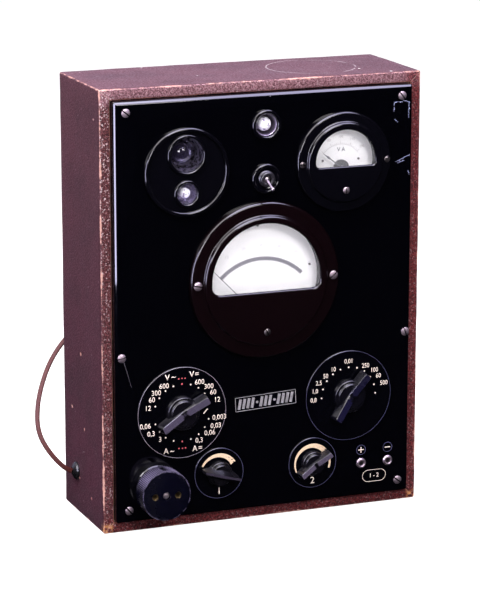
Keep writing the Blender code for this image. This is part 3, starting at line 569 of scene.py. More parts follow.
def coil_turns(per_turn=24, start=272.0, past=4.0):
    """The wound length: from the outermost turn in, up a level and out again, a little past full turns."""
    order = [(r, COIL_LEVELS[0]) for r in reversed(COIL_RADII)] + [(r, COIL_LEVELS[1]) for r in COIL_RADII]
    turns = []
    for number in range(len(order) * per_turn + round(past / 360 * per_turn) + 1):
        turn, step = min(number // per_turn, len(order) - 1), number % per_turn
        (radius, level), (next_radius, next_level) = order[turn], order[min(turn + 1, len(order) - 1)]
        ease = max(0.0, (step / per_turn - 0.5) / 0.5) if number < len(order) * per_turn else 0.0
        ease = ease * ease * (3 - 2 * ease)
        angle = radians(start + 360 * number / per_turn)
        radius, level = radius + (next_radius - radius) * ease, level + (next_level - level) * ease
        turns.append(Vector((COIL_CENTRE[0] + radius * cos(angle), COIL_CENTRE[1] + radius * sin(angle),
                             level)))
    return turns


def sweep(bm, path, section, sideways):
    """Runs a flat section along a path, turning it as little as it can."""
    rows, side = [], Vector(sideways)
    for i, point in enumerate(path):
        along = (path[min(i + 1, len(path) - 1)] - path[max(i - 1, 0)]).normalized()
        side = (side - along * side.dot(along)).normalized()
        across = along.cross(side)
        rows.append([point + side * u + across * v for u, v in section])
    loft(bm, rows)


def twin_section(wide, thick, count=18):
    """Two cores side by side: an oval drawn in at its waist."""
    points = []
    for i in range(count):
        a = 2 * pi * i / count
        waist = 1.0 - 0.30 * exp(-(cos(a) / 0.28) ** 2)
        points.append((wide / 2 * cos(a), thick / 2 * copysign(abs(sin(a)) ** 0.8, sin(a)) * waist))
    return points


def make_flex():
    """The flex in one piece: its lead from the grommet, then its whole wound length, then the plug."""
    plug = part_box("mains_plug")
    nose = Vector((plug[0].x, (plug[0].y + plug[1].y) / 2, (plug[0].z + plug[1].z) / 2)) / MM
    points = [Vector((x, FRONT + y, z)) for x, y, z in (*FLEX_ROUTE, *coil_turns())]
    points += [nose - Vector((11.5, 1.7, 0.4)), nose - Vector((5.6, 0.5, 0.1)), nose - Vector((0.3, 0, 0))]
    path = catmull_rom(points, 3)
    bm = bmesh.new()
    sweep(bm, path, twin_section(FLEX_WIDE, FLEX_THICK), (0, 0, 1))
    made = plain("flex_sheath", (0.085, 0.014, 0.010), 0.5, Specular_IOR_Level=0.2, scale=900.0, depth=0.06,
                 vary=0.35)
    lead = add("twin_flex", finish_mesh(bm, "twin_flex", 50), made)
    stand_in(lead, "brown_flex", "flex_lead", "flex_coil")
    make_coil_tie()


def make_coil_tie():
    """A thin rubber band round the coil's section, opposite the plug."""
    inner, outer, top = COIL_RADII[0] - 1.7, COIL_RADII[-1] + 1.7, COIL_LEVELS[1] + 2.4
    outside = [*arc(inner + 0.6, 1.2, 1.4, 270, 180, 4), *arc(inner + 0.6, top - 0.8, 1.4, 180, 90, 4),
               *arc(outer - 0.6, top - 0.8, 1.4, 90, 0, 4), *arc(outer - 0.6, 1.2, 1.4, 0, -90, 4)]
    inside = [*arc(inner + 1.2, 1.2, 1.1, 270, 180, 4), *arc(inner + 1.2, top - 1.4, 1.1, 180, 90, 4),
              *arc(outer - 1.2, top - 1.4, 1.1, 90, 0, 4), *arc(outer - 1.2, 1.2, 1.1, 0, -90, 4)]
    bm = bmesh.new()
    rows = []
    for outline, across in ((outside, -3.0), (outside, 3.0), (inside, 3.0), (inside, -3.0)):
        rows.append([bm.verts.new((across, radius, max(height, 0.02 if outline is outside else 0.1)))
                     for radius, height in outline])
    for a, b in zip(rows, rows[1:] + rows[:1]):
        for i in range(len(a)):
            j = (i + 1) % len(a)
            bm.faces.new((a[i], a[j], b[j], b[i]))
    centre = Vector((COIL_CENTRE[0], FRONT + COIL_CENTRE[1], 0)) * MM
    rubber = plain("tie_rubber", (0.02, 0.02, 0.022), 0.6)
    return add("coil_tie", finish_mesh(bm, "coil_tie"), rubber, matrix=Matrix.Translation(centre))


# ---- the case and the panel ---------------------------------------------------------------------
def rectangle(half_x, z_low, z_high, y):
    return [(-half_x, y, z_low), (half_x, y, z_low), (half_x, y, z_high), (-half_x, y, z_high)]


WAVE_SEED = 1                            # without a seed noise_vector starts from the clock


def make_covering():
    """One skin of leatherette over the four boards, with soft edges all round."""
    half, inner = WIDTH / 2, WIDTH / 2 - BOARD
    back = FRONT + DEPTH
    bm = loft(bmesh.new(), [rectangle(inner, BOARD, HEIGHT - BOARD, FRONT),
                            rectangle(half, 0, HEIGHT, FRONT), rectangle(half, 0, HEIGHT, back),
                            rectangle(inner, BOARD, HEIGHT - BOARD, back)], closed=True)
    outer = [e for e in bm.edges if all(abs(abs(v.co.x) - half) < 0.01 for v in e.verts)]
    inside = [e for e in bm.edges if all(abs(abs(v.co.x) - inner) < 0.01 for v in e.verts)
              and abs(e.verts[0].co.y - e.verts[1].co.y) < 0.01]
    bmesh.ops.bevel(bm, geom=outer + inside, offset=1.5, segments=4, profile=0.5, affect="EDGES",
                    clamp_overlap=True)
    rows = [e for e in bm.edges if e.calc_length() > 60]
    bmesh.ops.subdivide_edges(bm, edges=rows, cuts=24, use_grid_fill=True)
    noise.seed_set(WAVE_SEED)
    for vertex in bm.verts:
        drift = noise.noise_vector(vertex.co * 0.03) * 0.25 + noise.noise_vector(vertex.co * 0.11) * 0.15
        vertex.co += Vector((drift.x, drift.y, 0)) if vertex.co.z < 2 else drift
    covering = add("leatherette_covering", finish_mesh(bm, "leatherette_covering", 50), leatherette())
    stand_in(covering, "leatherette", "case_left_board", "case_right_board", "case_top_board",
             "case_bottom_board")


def node_circle(node):
    """The centre and radius of a round node on the panel."""
    x, z = middle(node)
    return x, z, (high(node).z - low(node).z) / 2 / MM


def rounded(half_x, half_y, radius, height):
    """A rectangle with rounded corners, as points at one height."""
    return [(*point, height) for sx, sy, start in ((1, 1, 0), (-1, 1, 90), (-1, -1, 180), (1, -1, 270))
            for point in arc(sx * (half_x - radius), sy * (half_y - radius), radius, start, start + 90, 4)]


PANEL_EDGE = ((0.0, -2.75), (0.10, -2.30), (0.45, -1.80), (1.05, -1.20), (1.65, -0.62), (2.15, -0.22),
              (2.75, 0.0))


def make_panel(black):
    """The thick panel, with a soft 45 degree edge that meets in mitres at its corners."""
    wide, tall = PANEL_HIGH.x, (PANEL_HIGH.z - PANEL_LOW.z) / 2
    bottom = FRONT - PANEL_HIGH.y
    bm = bmesh.new()
    sections = [rounded(wide, tall, 1.6, bottom)]
    sections += [rounded(wide - inset, tall - inset, max(1.6 - inset, 0.12), PANEL_FACE + drop)
                 for inset, drop in PANEL_EDGE]
    loft(bm, sections)
    middle_z = (PANEL_HIGH.z + PANEL_LOW.z) / 2
    tool = bmesh.new()
    for x, z, radius in panel_openings():
        rod(tool, x, z - middle_z, radius, bottom - 4, PANEL_FACE + 4, steps=72)
    mesh = carve(bm, tool, "panel_sheet")
    panel = add("panel_sheet", mesh, black, matrix=panel_matrix(0, middle_z))
    stand_in(panel, "black_enamel", "front_panel")


def make_panel_wear(pale, dull):
    """What is left of an old label's glue at the upper right, a long scratch and a chip."""
    residue = Marks()
    for x0, z0, x1, z1 in ((109, 332, 116, 332), (109, 332, 109, 325), (117, 333, 122.5, 331.5),
                           (122, 331, 122, 319), (110, 318, 112, 316), (111, 284, 123, 289),
                           (113, 283, 118, 284.5), (122, 276, 123, 273)):
        count = max(2, round(hypot(x1 - x0, z1 - z0) / 0.9))
        for i in range(count + 1):
            t = i / count
            wobble = noise.noise(Vector((x0 + 7 * t, z0, 3.1)))
            if wobble > -0.28:
                residue.dot(x0 + (x1 - x0) * t + wobble, z0 + (z1 - z0) * t - wobble * 0.8,
                            0.22 + 0.38 * abs(wobble), 7)
    residue.finish("label_residue", pale, panel_matrix(0, 0, PANEL_FACE + 0.01), thick=0.03)
    scratch = Marks()
    scratch.stroke(-119.7, 142.8, -116.3, 131.6, 0.22)
    scratch.stroke(-116.3, 131.6, -113.1, 120.1, 0.14)
    scratch.dot(3.4, 342.9, 0.45)
    scratch.finish("panel_scratch", dull, panel_matrix(0, 0, PANEL_FACE + 0.01), thick=0.02)


def panel_openings():
    eye_x, eye_z = middle("eye_tube")
    lamp_x, lamp_z = middle("eye_lamp_bulb")
    yield eye_x, eye_z, 16.2
    yield lamp_x, lamp_z, 10.9
    yield (*middle("top_lamp_bezel"), 8.9)
    yield (*middle("toggle_switch_body"), 6.4)
    yield (*middle("small_meter_housing"), 30.3)
    yield (*middle("big_meter_housing"), 50.3)
    yield (*middle("outlet_socket"), 17.3)
    for node in ("plus_jack", "minus_jack"):
        yield (*middle(node), 3.8)


# ---- printed marks ------------------------------------------------------------------------------
INK_LIFT = 0.02                          # how far printed marks start above their face


def polar(radius, turn):
    """The point at a radius, so many degrees clockwise from straight up."""
    return radius * sin(radians(turn)), radius * cos(radians(turn))


class Marks:
    """Thin printed or engraved marks on one flat face, in a local frame in millimetres."""

    def __init__(self):
        self.bm = bmesh.new()

    def shape(self, points):
        self.bm.faces.new([self.bm.verts.new((x, y, 0)) for x, y in points])

    def dot(self, x, y, radius, count=16):
        self.shape(arc(x, y, radius, 0, 360 - 360 / count, count - 1))

    def band(self, radius, width, start, end, count=48, centre=(0, 0), grow=None):
        """A band along an arc, clockwise from straight up, optionally with a width that changes."""
        for i in range(count):
            quad = []
            for j, outer in ((i, True), (i, False), (i + 1, False), (i + 1, True)):
                t = j / count
                w = width if grow is None else width + (grow - width) * t
                a = radians(90 - (start + (end - start) * t))
                r = radius if outer else radius - w
                quad.append((centre[0] + r * cos(a), centre[1] + r * sin(a)))
            self.shape(quad)

    def stroke(self, x0, y0, x1, y1, width):
        along = Vector((x1 - x0, y1 - y0)).normalized()
        side = Vector((-along.y, along.x)) * width / 2
        self.shape([(x0 + side.x, y0 + side.y), (x0 - side.x, y0 - side.y), (x1 - side.x, y1 - side.y),
                    (x1 + side.x, y1 + side.y)])

    def tick(self, radius, length, turn, width, drop):
        """A stroke outwards from an arc whose centre lies so far up the face."""
        (x0, y0), (x1, y1) = polar(radius, turn), polar(radius + length, turn)
        self.stroke(x0, drop + y0, x1, drop + y1, width)

    def text(self, words, x, y, tall, narrow=1.0, weight=0.0):
        """A generic label centred on a point."""
        font = bpy.data.curves.new("label", "FONT")
        font.body, font.align_x, font.align_y = words, "CENTER", "CENTER"
        font.size = tall * 1.36
        font.offset = weight
        font.resolution_u = 3
        label = bpy.data.objects.new("label", font)
        bpy.context.collection.objects.link(label)
        evaluated = label.evaluated_get(bpy.context.evaluated_depsgraph_get())
        mesh = bpy.data.meshes.new_from_object(evaluated)
        mesh.transform(Matrix.Translation((x, y, 0)) @ Matrix.Diagonal((narrow, 1, 1, 1)))
        self.bm.from_mesh(mesh)
        bpy.data.objects.remove(label, do_unlink=True)
        bpy.data.meshes.remove(mesh)

    def finish(self, name, finish, matrix, thick=0.05):
        """Makes the marks into a piece on the case, as thick as ink or as its part."""
        for face in self.bm.faces:
            if face.normal.z < 0:
                face.normal_flip()
        bmesh.ops.remove_doubles(self.bm, verts=self.bm.verts, dist=0.001)
        bmesh.ops.scale(self.bm, vec=(MM,) * 3, verts=self.bm.verts)
        mesh = bpy.data.meshes.new(name)
        self.bm.to_mesh(mesh)
        self.bm.free()
        made = add(name, mesh, finish, matrix=matrix)
        thickness = made.modifiers.new("ink", "SOLIDIFY")
        thickness.thickness, thickness.offset = thick * MM, 1.0
        return made


# ---- meters -------------------------------------------------------------------------------------
METERS = {
    "small": {"window": 25.3, "rise": 0.7, "sill": -3.0, "corner": 3.0, "wall": 1.6, "flange": 40.0,
              "body": 32.0, "flange_face": 4.4, "edge": 2.0, "lip": 1.6},
    "big": {"window": 45.6, "rise": 0.4, "sill": -8.5, "corner": 6.5, "wall": 2.0, "flange": 62.8,
            "body": 52.0, "flange_face": 5.0, "edge": 2.4, "lip": 2.0},
}


def window_outline(meter, grow, height):
    """The D-shaped window at some height: a half circle, a straight sill and rounded lower corners."""
    radius, sill, corner = meter["window"] + grow, meter["sill"] - grow, meter["corner"] + grow
    points = arc(0, meter["rise"], radius, 0, 180, 48)
    points += arc(-(radius - corner), sill + corner, corner, 180, 270, 8)
    points += arc(radius - corner, sill + corner, corner, 270, 360, 8)
    return [(x, y, height) for x, y in points]


def make_housing(size, finish):
    """A moulded housing: a rounded flange, a raised drum, and a window with a rolled lip."""
    meter = METERS[size]
    node = f"{size}_meter_housing"
    x, z = middle(node)
    front, back = front_of(node), back_of(node)
    body, flange, edge = meter["body"], meter["flange"], meter["edge"]
    face = SEAT + meter["flange_face"]
    profile = [(0, front), *arc(body - edge, front - edge, edge, 90, 0, 8),
               *arc(body + 1.2, face + 1.2, 1.2, 180, 270, 5),
               *arc(flange - edge, face - edge, edge, 90, 0, 8), (flange, SEAT), (body - 2.1, SEAT),
               (body - 2.1, back), (0, back)]
    bm = lathe(bmesh.new(), profile, 128)
    tool = lathe(bmesh.new(), [(0, front - meter["wall"]), (body - 3.7, front - meter["wall"]),
                               (body - 3.7, back + 2), (0, back + 2)], 96)
    mesh = carve(bm, tool, node)
    lip = meter["lip"]
    tool = bmesh.new()
    sections = [window_outline(meter, lip + 0.6, front + 1)]
    for i in range(7):
        angle = radians(90 * i / 6)
        sections.append(window_outline(meter, lip * (1 - sin(angle)), front - lip * (1 - cos(angle))))
    sections.append(window_outline(meter, 0, front - meter["wall"] - 2))
    loft(tool, sections)
    mesh = boolean(mesh, finish_mesh(tool, "window"))
    housing = add(f"{size}_meter_moulding", mesh, finish, matrix=panel_matrix(x, z))
    stand_in(housing, "brown_bakelite" if size == "big" else "black_bakelite", node)
    return x, z, front, face


def make_glass(size, clear):
    """The window's thin glass, seated behind the moulding."""
    meter = METERS[size]
    node = f"{size}_meter_glass"
    x, z = middle(f"{size}_meter_housing")
    top, bottom = front_of(node), back_of(node)
    bm = loft(bmesh.new(), [window_outline(meter, 1.6, bottom), window_outline(meter, 1.6, top)])
    pane = add(f"{size}_meter_pane", finish_mesh(bm, node), clear, matrix=panel_matrix(x, z))
    stand_in(pane, "clear_glass", node)


def dress(node, finish):
    """Gives a CAD node that is kept as it is its own finish."""
    obj = frame["nodes"][node]
    for slot in obj.material_slots:
        slot.material = finish
    return obj


def make_slotted_screw(node, name, finish, slot_turn, body="case"):
    """A turned screw head with a sawn slot, standing for a CAD screw."""
    x, z = middle(node)
    radius = (high(node).x - low(node).x) / 2 / MM * 0.95
    top, bottom = front_of(node), back_of(node)
    rise = min(radius * 0.30, 1.6)
    half_slot = radius * 0.15
    seat = top - rise
    shank = radius * 0.42
    profile = [(0, top)]
    profile += [(radius * t, top - rise * 0.72 * t ** 2.4) for t in (0.2, 0.4, 0.6, 0.75, 0.88, 0.96)]
    profile += [(radius, top - rise * 0.9), (radius, seat), (shank, seat), (shank, bottom), (0, bottom)]
    bm = lathe(bmesh.new(), profile, 40)
    tool = bmesh.new()
    box(tool, (-radius * 1.3, -half_slot, seat - 1.4), (radius * 1.3, half_slot, top + 1))
    mesh = carve(bm, tool, name)
    screw = add(name, mesh, finish, body, panel_matrix(x, z, turn=slot_turn))
    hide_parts(node)
    return screw


def make_small_dial(white, ink, washed, dark):
    x, z = middle("small_meter_dial")
    top = front_of("small_meter_dial")
    dress("small_meter_dial", white)
    drop = -5.6
    marks, letters = Marks(), Marks()
    marks.band(18.6, 0.22, -52, 52, centre=(0, drop))
    for i in range(21):
        marks.tick(18.5, 1.4 if i % 5 else 2.6, -50 + 5.0 * i, 0.24 if i % 5 else 0.36, drop)
    for i, words in enumerate(("0", "50", "100", "150", "200")):
        along, up = polar(24.4, -50 + 25 * i)
        marks.text(words, along * 0.98, drop + up, 2.2)
    marks.finish("small_scale", washed, panel_matrix(x, z, top + INK_LIFT))
    letters.text("V A", 0.4, 8.6, 3.6, 0.9, 0.01)
    letters.finish("small_letters", ink, panel_matrix(x, z, top + INK_LIFT))
    rivets = Marks()
    for sign in (-1, 1):
        rivets.dot(sign * 15.4, 0.4, 0.95)
    rivets.finish("small_dial_rivets", dark, panel_matrix(x, z, top + INK_LIFT), thick=0.5)


MIRROR_HALF = 44.5                       # half the angle of the big meter's mirror arc


def make_big_dial(white, ink, faint, mirror, dark):
    x, z = middle("big_meter_dial")
    top = front_of("big_meter_dial")
    dress("big_meter_dial", white)
    drop = -33.3
    marks = Marks()
    marks.band(50.6, 0.16, -MIRROR_HALF, MIRROR_HALF, 80, centre=(0, drop))
    marks.band(47.3, 0.16, -MIRROR_HALF, MIRROR_HALF, 80, centre=(0, drop))
    marks.finish("big_mirror_border", ink, panel_matrix(x, z, top + INK_LIFT))
    strip = Marks()
    strip.band(50.3, 2.7, -MIRROR_HALF, MIRROR_HALF, 96, centre=(0, drop))
    strip.finish("big_mirror_arc", mirror, panel_matrix(x, z, top + INK_LIFT), thick=0.12)
    pale = Marks()
    for i in range(61):
        pale.tick(53.0, 3.4 if i % 10 == 0 else 2.2 if i % 5 == 0 else 1.4, -44.0 + 88.0 * i / 60, 0.16, drop)
    for i in range(7):
        along, up = polar(59.6, -44.0 + 88.0 * i / 6)
        pale.text(str(i * 10), along, drop + up, 2.6)
    pale.finish("big_scale", faint, panel_matrix(x, z, top + INK_LIFT))
    pegs = Marks()
    pegs.dot(-3.5, 42.8, 1.0)
    pegs.dot(41.0, 8.0, 0.9)
    pegs.finish("big_dial_pegs", dark, panel_matrix(x, z, top + INK_LIFT), thick=1.2)


# ---- the tuning eye, lamps and toggle ------------------------------------------------------------
def make_eye(bakelite, bowl):
    x, z = middle("eye_escutcheon")
    radius = (high("eye_escutcheon").x - low("eye_escutcheon").x) / 2 / MM
    eye_rise = middle("eye_tube")[1] - z
    lamp_rise = middle("eye_lamp_bulb")[1] - z
    dish = [(0, SEAT + 1.2), (radius - 4.6, SEAT + 1.2), *arc(radius - 3.5, SEAT + 2.3, 1.1, 270, 340, 4),
            *arc(radius - 1.75, SEAT + 1.9, 1.75, 160, 0, 12), (radius, SEAT), (0, SEAT)]
    bm = lathe(bmesh.new(), dish, 128)
    tool = bmesh.new()
    rod(tool, 0, eye_rise, 14.6, SEAT - 4, SEAT + 9, 72)
    rod(tool, 0, lamp_rise, 9.4, SEAT - 4, SEAT + 9, 64)
    mesh = carve(bm, tool, "eye_plate")
    plate = add("eye_plate", mesh, bakelite, matrix=panel_matrix(x, z))
    stand_in(plate, "black_bakelite", "eye_escutcheon")
    for name, rise, outer, floor, opening, top in (("eye_cup", eye_rise, 16.1, -9.0, 9.3, 2.6),
                                                   ("eye_lamp_cup", lamp_rise, 10.8, -5.0, 4.6, 2.4)):
        rim = [(outer - 2.6, SEAT + top - 1.2), *arc(outer - 1.3, SEAT + top - 0.4, 1.3, 170, 0, 10),
               (outer, SEAT + 0.2), (outer, floor), (outer - 1.0, floor), (outer - 2.6, SEAT + top - 1.4)]
        turned(f"{name}_rim", rim, bakelite, panel_matrix(x, z + rise))
        wall = bowl_wall(outer - 2.7, opening, SEAT + top - 1.6, floor + 1.4)
        wall += [(opening, floor + 0.2), (outer - 1.6, floor + 0.2), (outer - 1.6, SEAT + top - 1.8)]
        turned(f"{name}_bowl", wall, bowl, panel_matrix(x, z + rise))


def bowl_wall(mouth, opening, top, bottom):
    """A quarter of an ellipse, from a bowl's mouth down to the opening in its floor."""
    return [(mouth - (mouth - opening) * (1 - cos(radians(9 * i))),
             top - (top - bottom) * sin(radians(9 * i))) for i in range(11)]


def dome_profile(radius, top, bottom, squash=0.85, count=14):
    """A glass dome with a straight barrel below."""
    points = [(radius * sin(radians(90 * i / count)),
               top - radius * squash * (1 - cos(radians(90 * i / count)))) for i in range(count + 1)]
    return points + [(radius, bottom), (0, bottom)]


def make_bulbs(dark_glass, painted_reflection_glass, filament):
    for node, finish, radius, top in (("eye_tube", dark_glass, 8.9, 3.4),
                                      ("eye_lamp_bulb", painted_reflection_glass, 4.3, 7.0),
                                      ("top_lamp_bulb", painted_reflection_glass, 5.6, 7.6)):
        x, z = middle(node)
        bottom = back_of(node)
        glassware = turned(f"{node}_glass", dome_profile(radius, top, bottom), finish, panel_matrix(x, z))
        stand_in(glassware, "clear_glass", node)
    x, z = middle("eye_tube")
    bm = lathe(bmesh.new(), [(0, -6.4), (2.6, -6.6), (3.0, -8.0), (0, -8.0)], 32)
    lathe(bm, [(5.6, -8.2), (6.9, -6.9), (7.5, -8.4), (6.0, -9.4)], 48)
    add("eye_target", finish_mesh(bm, "eye_target"), filament, matrix=panel_matrix(x, z))


def make_top_lamp(bakelite, bowl):
    node = "top_lamp_bezel"
    x, z, radius = node_circle(node)
    rim = [(radius - 3.0, SEAT + 1.6), *arc(radius - 1.5, SEAT + 1.9, 1.5, 170, 0, 10), (radius, SEAT),
           (8.6, SEAT), (8.6, -9.0), (7.6, -9.0), (radius - 3.4, SEAT + 1.0)]
    bezel = turned("lamp_bezel", rim, bakelite, panel_matrix(x, z))
    stand_in(bezel, "black_bakelite", node)
    wall = bowl_wall(radius - 3.1, radius - 5.7, SEAT + 1.3, SEAT - 10.7)
    turned("lamp_bowl", wall + [(7.4, -6.0), (8.3, SEAT + 0.6)], bowl, panel_matrix(x, z))


LEVER_DROOP = 22.0                       # degrees below straight out


def make_toggle(bakelite, dusty, nickel):
    node = "toggle_switch_body"
    x, z, radius = node_circle(node)
    ring = [(6.6, SEAT + 1.2), (radius - 4.2, SEAT + 1.5), *arc(radius - 1.6, SEAT + 1.4, 1.6, 150, 0, 10),
            (radius, SEAT), (6.3, SEAT), (6.3, -3), (10, -3), (10, -24), (0, -24), (0, -5), (5.0, -5),
            (5.0, SEAT + 1)]
    bezel = turned("toggle_bezel", ring, bakelite, panel_matrix(x, z))
    stand_in(bezel, "black_bakelite", node)
    nose = [(5.0, SEAT + 0.6), (6.4, SEAT + 0.6)]
    for i in range(4):
        nose += [(6.5, SEAT + 1.2 + i * 0.8), (6.1, SEAT + 1.6 + i * 0.8)]
    nose += [*arc(4.6, SEAT + 4.6, 1.5, 0, 100, 8), (3.0, SEAT + 5.4), (3.0, SEAT + 4.4)]
    turned("toggle_bush", nose, dusty, panel_matrix(x, z))
    pivot = pivot_of("toggle_flip")
    lever = [(0, 16.9), (0.5, 16.85), *arc(0.6, 16.3, 0.6, 70, 0, 4), (1.15, 15.0), (0.9, 12.6), (0.8, 10.0),
             (0.8, 7.0), (1.2, 3.8), *arc(0, 0, 3.4, 66, -66, 10), (0, -3.2)]
    made = turned("toggle_bat", lever, nickel, panel_matrix(x, z, FRONT - pivot.y, tilt=LEVER_DROOP),
                  "toggle", 40)
    stand_in(made, "nickel", "toggle_lever")


# ---- selectors and potentiometers ----------------------------------------------------------------
TURNS = {"left_selector": 60.0, "right_selector": 36.0, "left_pot": -74.0, "right_pot": 57.0}
LEFT_LABELS = {
    18: "600", 36: "300", 54: "60", 72: "12", 108: "0,003", 126: "0,03", 144: "0,06", 162: "0,3",
    216: "3", 234: "0,3", 252: "0,06", 288: "12", 306: "60", 324: "300", 342: "600",
}
RIGHT_LABELS = {
    -90: "0,8", -72: "1,0", -54: "2,5", -36: "50", -18: "10", 0: "0,01", 18: "250", 36: "100", 54: "60",
    72: "500",
}
LABEL_TALL, LABEL_NARROW, LABEL_WEIGHT = 4.3, 0.93, 0.015
DOT_RING = 23.5                          # radius of the ring of dots on both selectors


def label_place(turn, words):
    """Where a label goes: beside its dot, a little above it on the right and below it on the left."""
    x, y = polar(DOT_RING, turn)
    wide = 3.0 * len(words) - 1.5 * words.count(",")
    if abs(x) < 0.5:
        return x, y + 5.0
    if x > 0:
        inward = 1.9 * (len(words) > 4) + 1.2 * (y > 21) + 0.9 * (y < -21)
        return x + 4.2 - inward + wide / 2, y + 0.6 - 0.02 * abs(y) + 1.0 * (y > 21) - 1.9 * (y < -21)
    return x - 3.2 - wide / 2, y - 1.1 + 1.7 * (y > 21)


def make_disc(node, finish, edge_highlight_ink, edge):
    """An engraved disc, with a painted highlight as a fine line round its edge."""
    x, z, radius = node_circle(node)
    top = front_of(node)
    plate = [(3.5, top), (radius - 0.6, top), *arc(radius - 0.5, top - 0.5, 0.5, 80, 0, 4), (radius, SEAT),
             (3.5, SEAT)]
    disc = turned(node + "_plate", plate, finish, panel_matrix(x, z), steps=128)
    stand_in(disc, "engraved_disc", node)
    place = panel_matrix(x, z, top + 0.01)
    # Painted highlight: a fine line on the rounded edge.
    ring = Marks()
    ring.band(radius - 0.35, edge, 0, 360, 128)
    ring.finish(node + "_ring", edge_highlight_ink, place)
    return Marks(), place


def make_left_selector(finish, ink, red_ink, edge_highlight_ink):
    marks, place = make_disc("left_selector_disc", finish, edge_highlight_ink, 0.2)
    red = Marks()
    for turn in range(0, 360, 18):
        if turn in (90, 270):
            continue
        (red if turn in (0, 180) else marks).dot(*polar(DOT_RING, turn), 0.66)
    for turn, words in LEFT_LABELS.items():
        marks.text(words, *label_place(turn, words), LABEL_TALL, LABEL_NARROW, LABEL_WEIGHT)
    for words, x, y in (("V", -12.2, 29.6), ("V", 8.3, 30.4), ("A", -13.6, -30.4), ("A", 10.6, -30.6)):
        marks.text(words, x, y, 4.9, 0.95, 0.05)
    for words, x, y in (("~", -7.0, 29.8), ("=", 12.6, 30.2), ("~", -8.6, -30.6), ("=", 15.2, -30.4)):
        marks.text(words, x, y, 4.6, 1.0, 0.07)
    for turn in (-5.5, 0, 5.5):
        red.dot(*polar(28.0, turn), 0.55)
        red.dot(*polar(29.2, 180 + turn), 0.55)
    marks.stroke(18.0, -2.6, 21.4, 1.2, 0.9)
    marks.finish("left_selector_marks", ink, place)
    red.finish("left_selector_red_marks", red_ink, place)


def make_right_selector(finish, ink, edge_highlight_ink):
    marks, place = make_disc("right_selector_disc", finish, edge_highlight_ink, 0.16)
    for turn in range(-90, 91, 18):
        marks.dot(*polar(DOT_RING, turn), 0.68)
    for turn, words in RIGHT_LABELS.items():
        marks.text(words, *label_place(turn, words), 3.9, 0.85, 0.0)
    marks.finish("right_selector_marks", ink, place)


def make_pot_dial(side, finish, ink, cream, edge_highlight_ink, label):
    _, place = make_disc(f"{side}_pot_disc", finish, edge_highlight_ink, 0.2)
    crescent = Marks()
    if side == "left":
        crescent.band(16.4, 1.5, -64, 58, 40, grow=4.6)
    else:
        crescent.band(15.9, 0.9, -116, 64, 60, grow=4.8)
        crescent.band(15.9, 2.0, 84, 112, 12, grow=1.4)
    crescent.finish(f"{side}_pot_crescent", cream, place)
    ticks = Marks()
    for turn, size in ((34, 0.35), (47, 0.5), (57, 0.62)):
        ticks.dot(*polar(14.9, turn), size, 10)
    ticks.finish(f"{side}_pot_ticks", finish, place @ Matrix.Translation((0, 0, 0.06 * MM)))
    number = Marks()
    number.text(label, 0, -14.9, 5.8, 0.95, 0.05)
    number.finish(f"{side}_pot_number", ink, place)


KNOB_SHAPES = {
    "selector": {"skirt": 13.4, "rise": 4.4, "hub": 10.8, "top": 6.1, "half": 23.0, "tip": 10.9, "dip": 7.2,
                 "crest": 3.1, "foot": 3.9, "waist": 5.6, "low": 1.4},
    "left_pot": {"skirt": 9.9, "rise": 4.2, "hub": 8.1, "top": 6.2, "half": 16.0, "tip": 10.2, "dip": 11.4,
                 "crest": 1.1, "foot": 1.0, "waist": 6.8, "low": 1.4},
    "right_pot": {"skirt": 9.9, "rise": 4.2, "hub": 8.1, "top": 6.2, "half": 16.0, "tip": 10.8, "dip": 8.6,
                  "crest": 2.3, "foot": 2.8, "waist": 4.0, "low": 1.4},
}


def make_knob(which, finish):
    """A round hub with a saddle-backed grip bar across it, thin at its tips and broad at its foot."""
    shape = KNOB_SHAPES.get(which, KNOB_SHAPES["selector"])
    x, z = middle(f"{which}_disc")
    base = front_of(f"{which}_disc") + 0.3
    skirt, rise, hub, top = shape["skirt"], shape["rise"], shape["hub"], shape["top"]
    profile = [(0, top), (hub - 1.6, top), *arc(hub - 1.3, top - 1.3, 1.3, 85, 0, 6),
               (hub + 0.1, rise + 0.3), (hub + 0.6, rise), *arc(skirt - 1.1, rise - 1.1, 1.1, 90, 0, 6),
               (skirt + 0.4, 0.3), (skirt + 0.2, 0), (3.0, 0), (3.0, -14), (0, -14)]
    bm = lathe(bmesh.new(), profile, 96)
    tool = bmesh.new()
    half, count, sections = shape["half"], 36, []
    for i in range(count + 1):
        t = -1 + 2 * i / count
        along = abs(t)
        high_z = shape["dip"] + (shape["tip"] - shape["dip"]) * along
        if shape["tip"] > shape["dip"]:
            high_z -= 0.5 * exp(-(along / 0.06) ** 2)
        drawn_in = 0.8 if along > 0.97 else 1.0
        foot = (shape["foot"] + (shape["waist"] - shape["foot"]) * (1 - along) ** 0.8) * drawn_in
        if which == "left_pot":
            foot = shape["foot"] + (shape["waist"] - shape["foot"]) * (1 - along ** 1.6)
        crest = shape["crest"] * drawn_in
        y, y_foot = half * t * (1 - 0.05 * high_z / 11), half * t
        low_z = shape["low"]
        side = [(crest * 0.86, y, high_z), (crest, y, high_z - 0.35), (foot * 0.88, y_foot, low_z + 1.6),
                (foot, y_foot, low_z)]
        sections.append([(-px, py, pz) for px, py, pz in reversed(side)] + side)
    loft(tool, sections)
    mesh = carve(bm, tool, "hub", "UNION", sharp=38, tool_sharp=40)
    knob = add(f"{which}_grip", mesh, finish, which, panel_matrix(x, z, base, TURNS[which]))
    bevel = knob.modifiers.new("soft_edges", "BEVEL")
    bevel.width, bevel.segments, bevel.limit_method, bevel.angle_limit = 0.35 * MM, 2, "ANGLE", radians(40)
    stand_in(knob, "black_bakelite", f"{which}_knob")


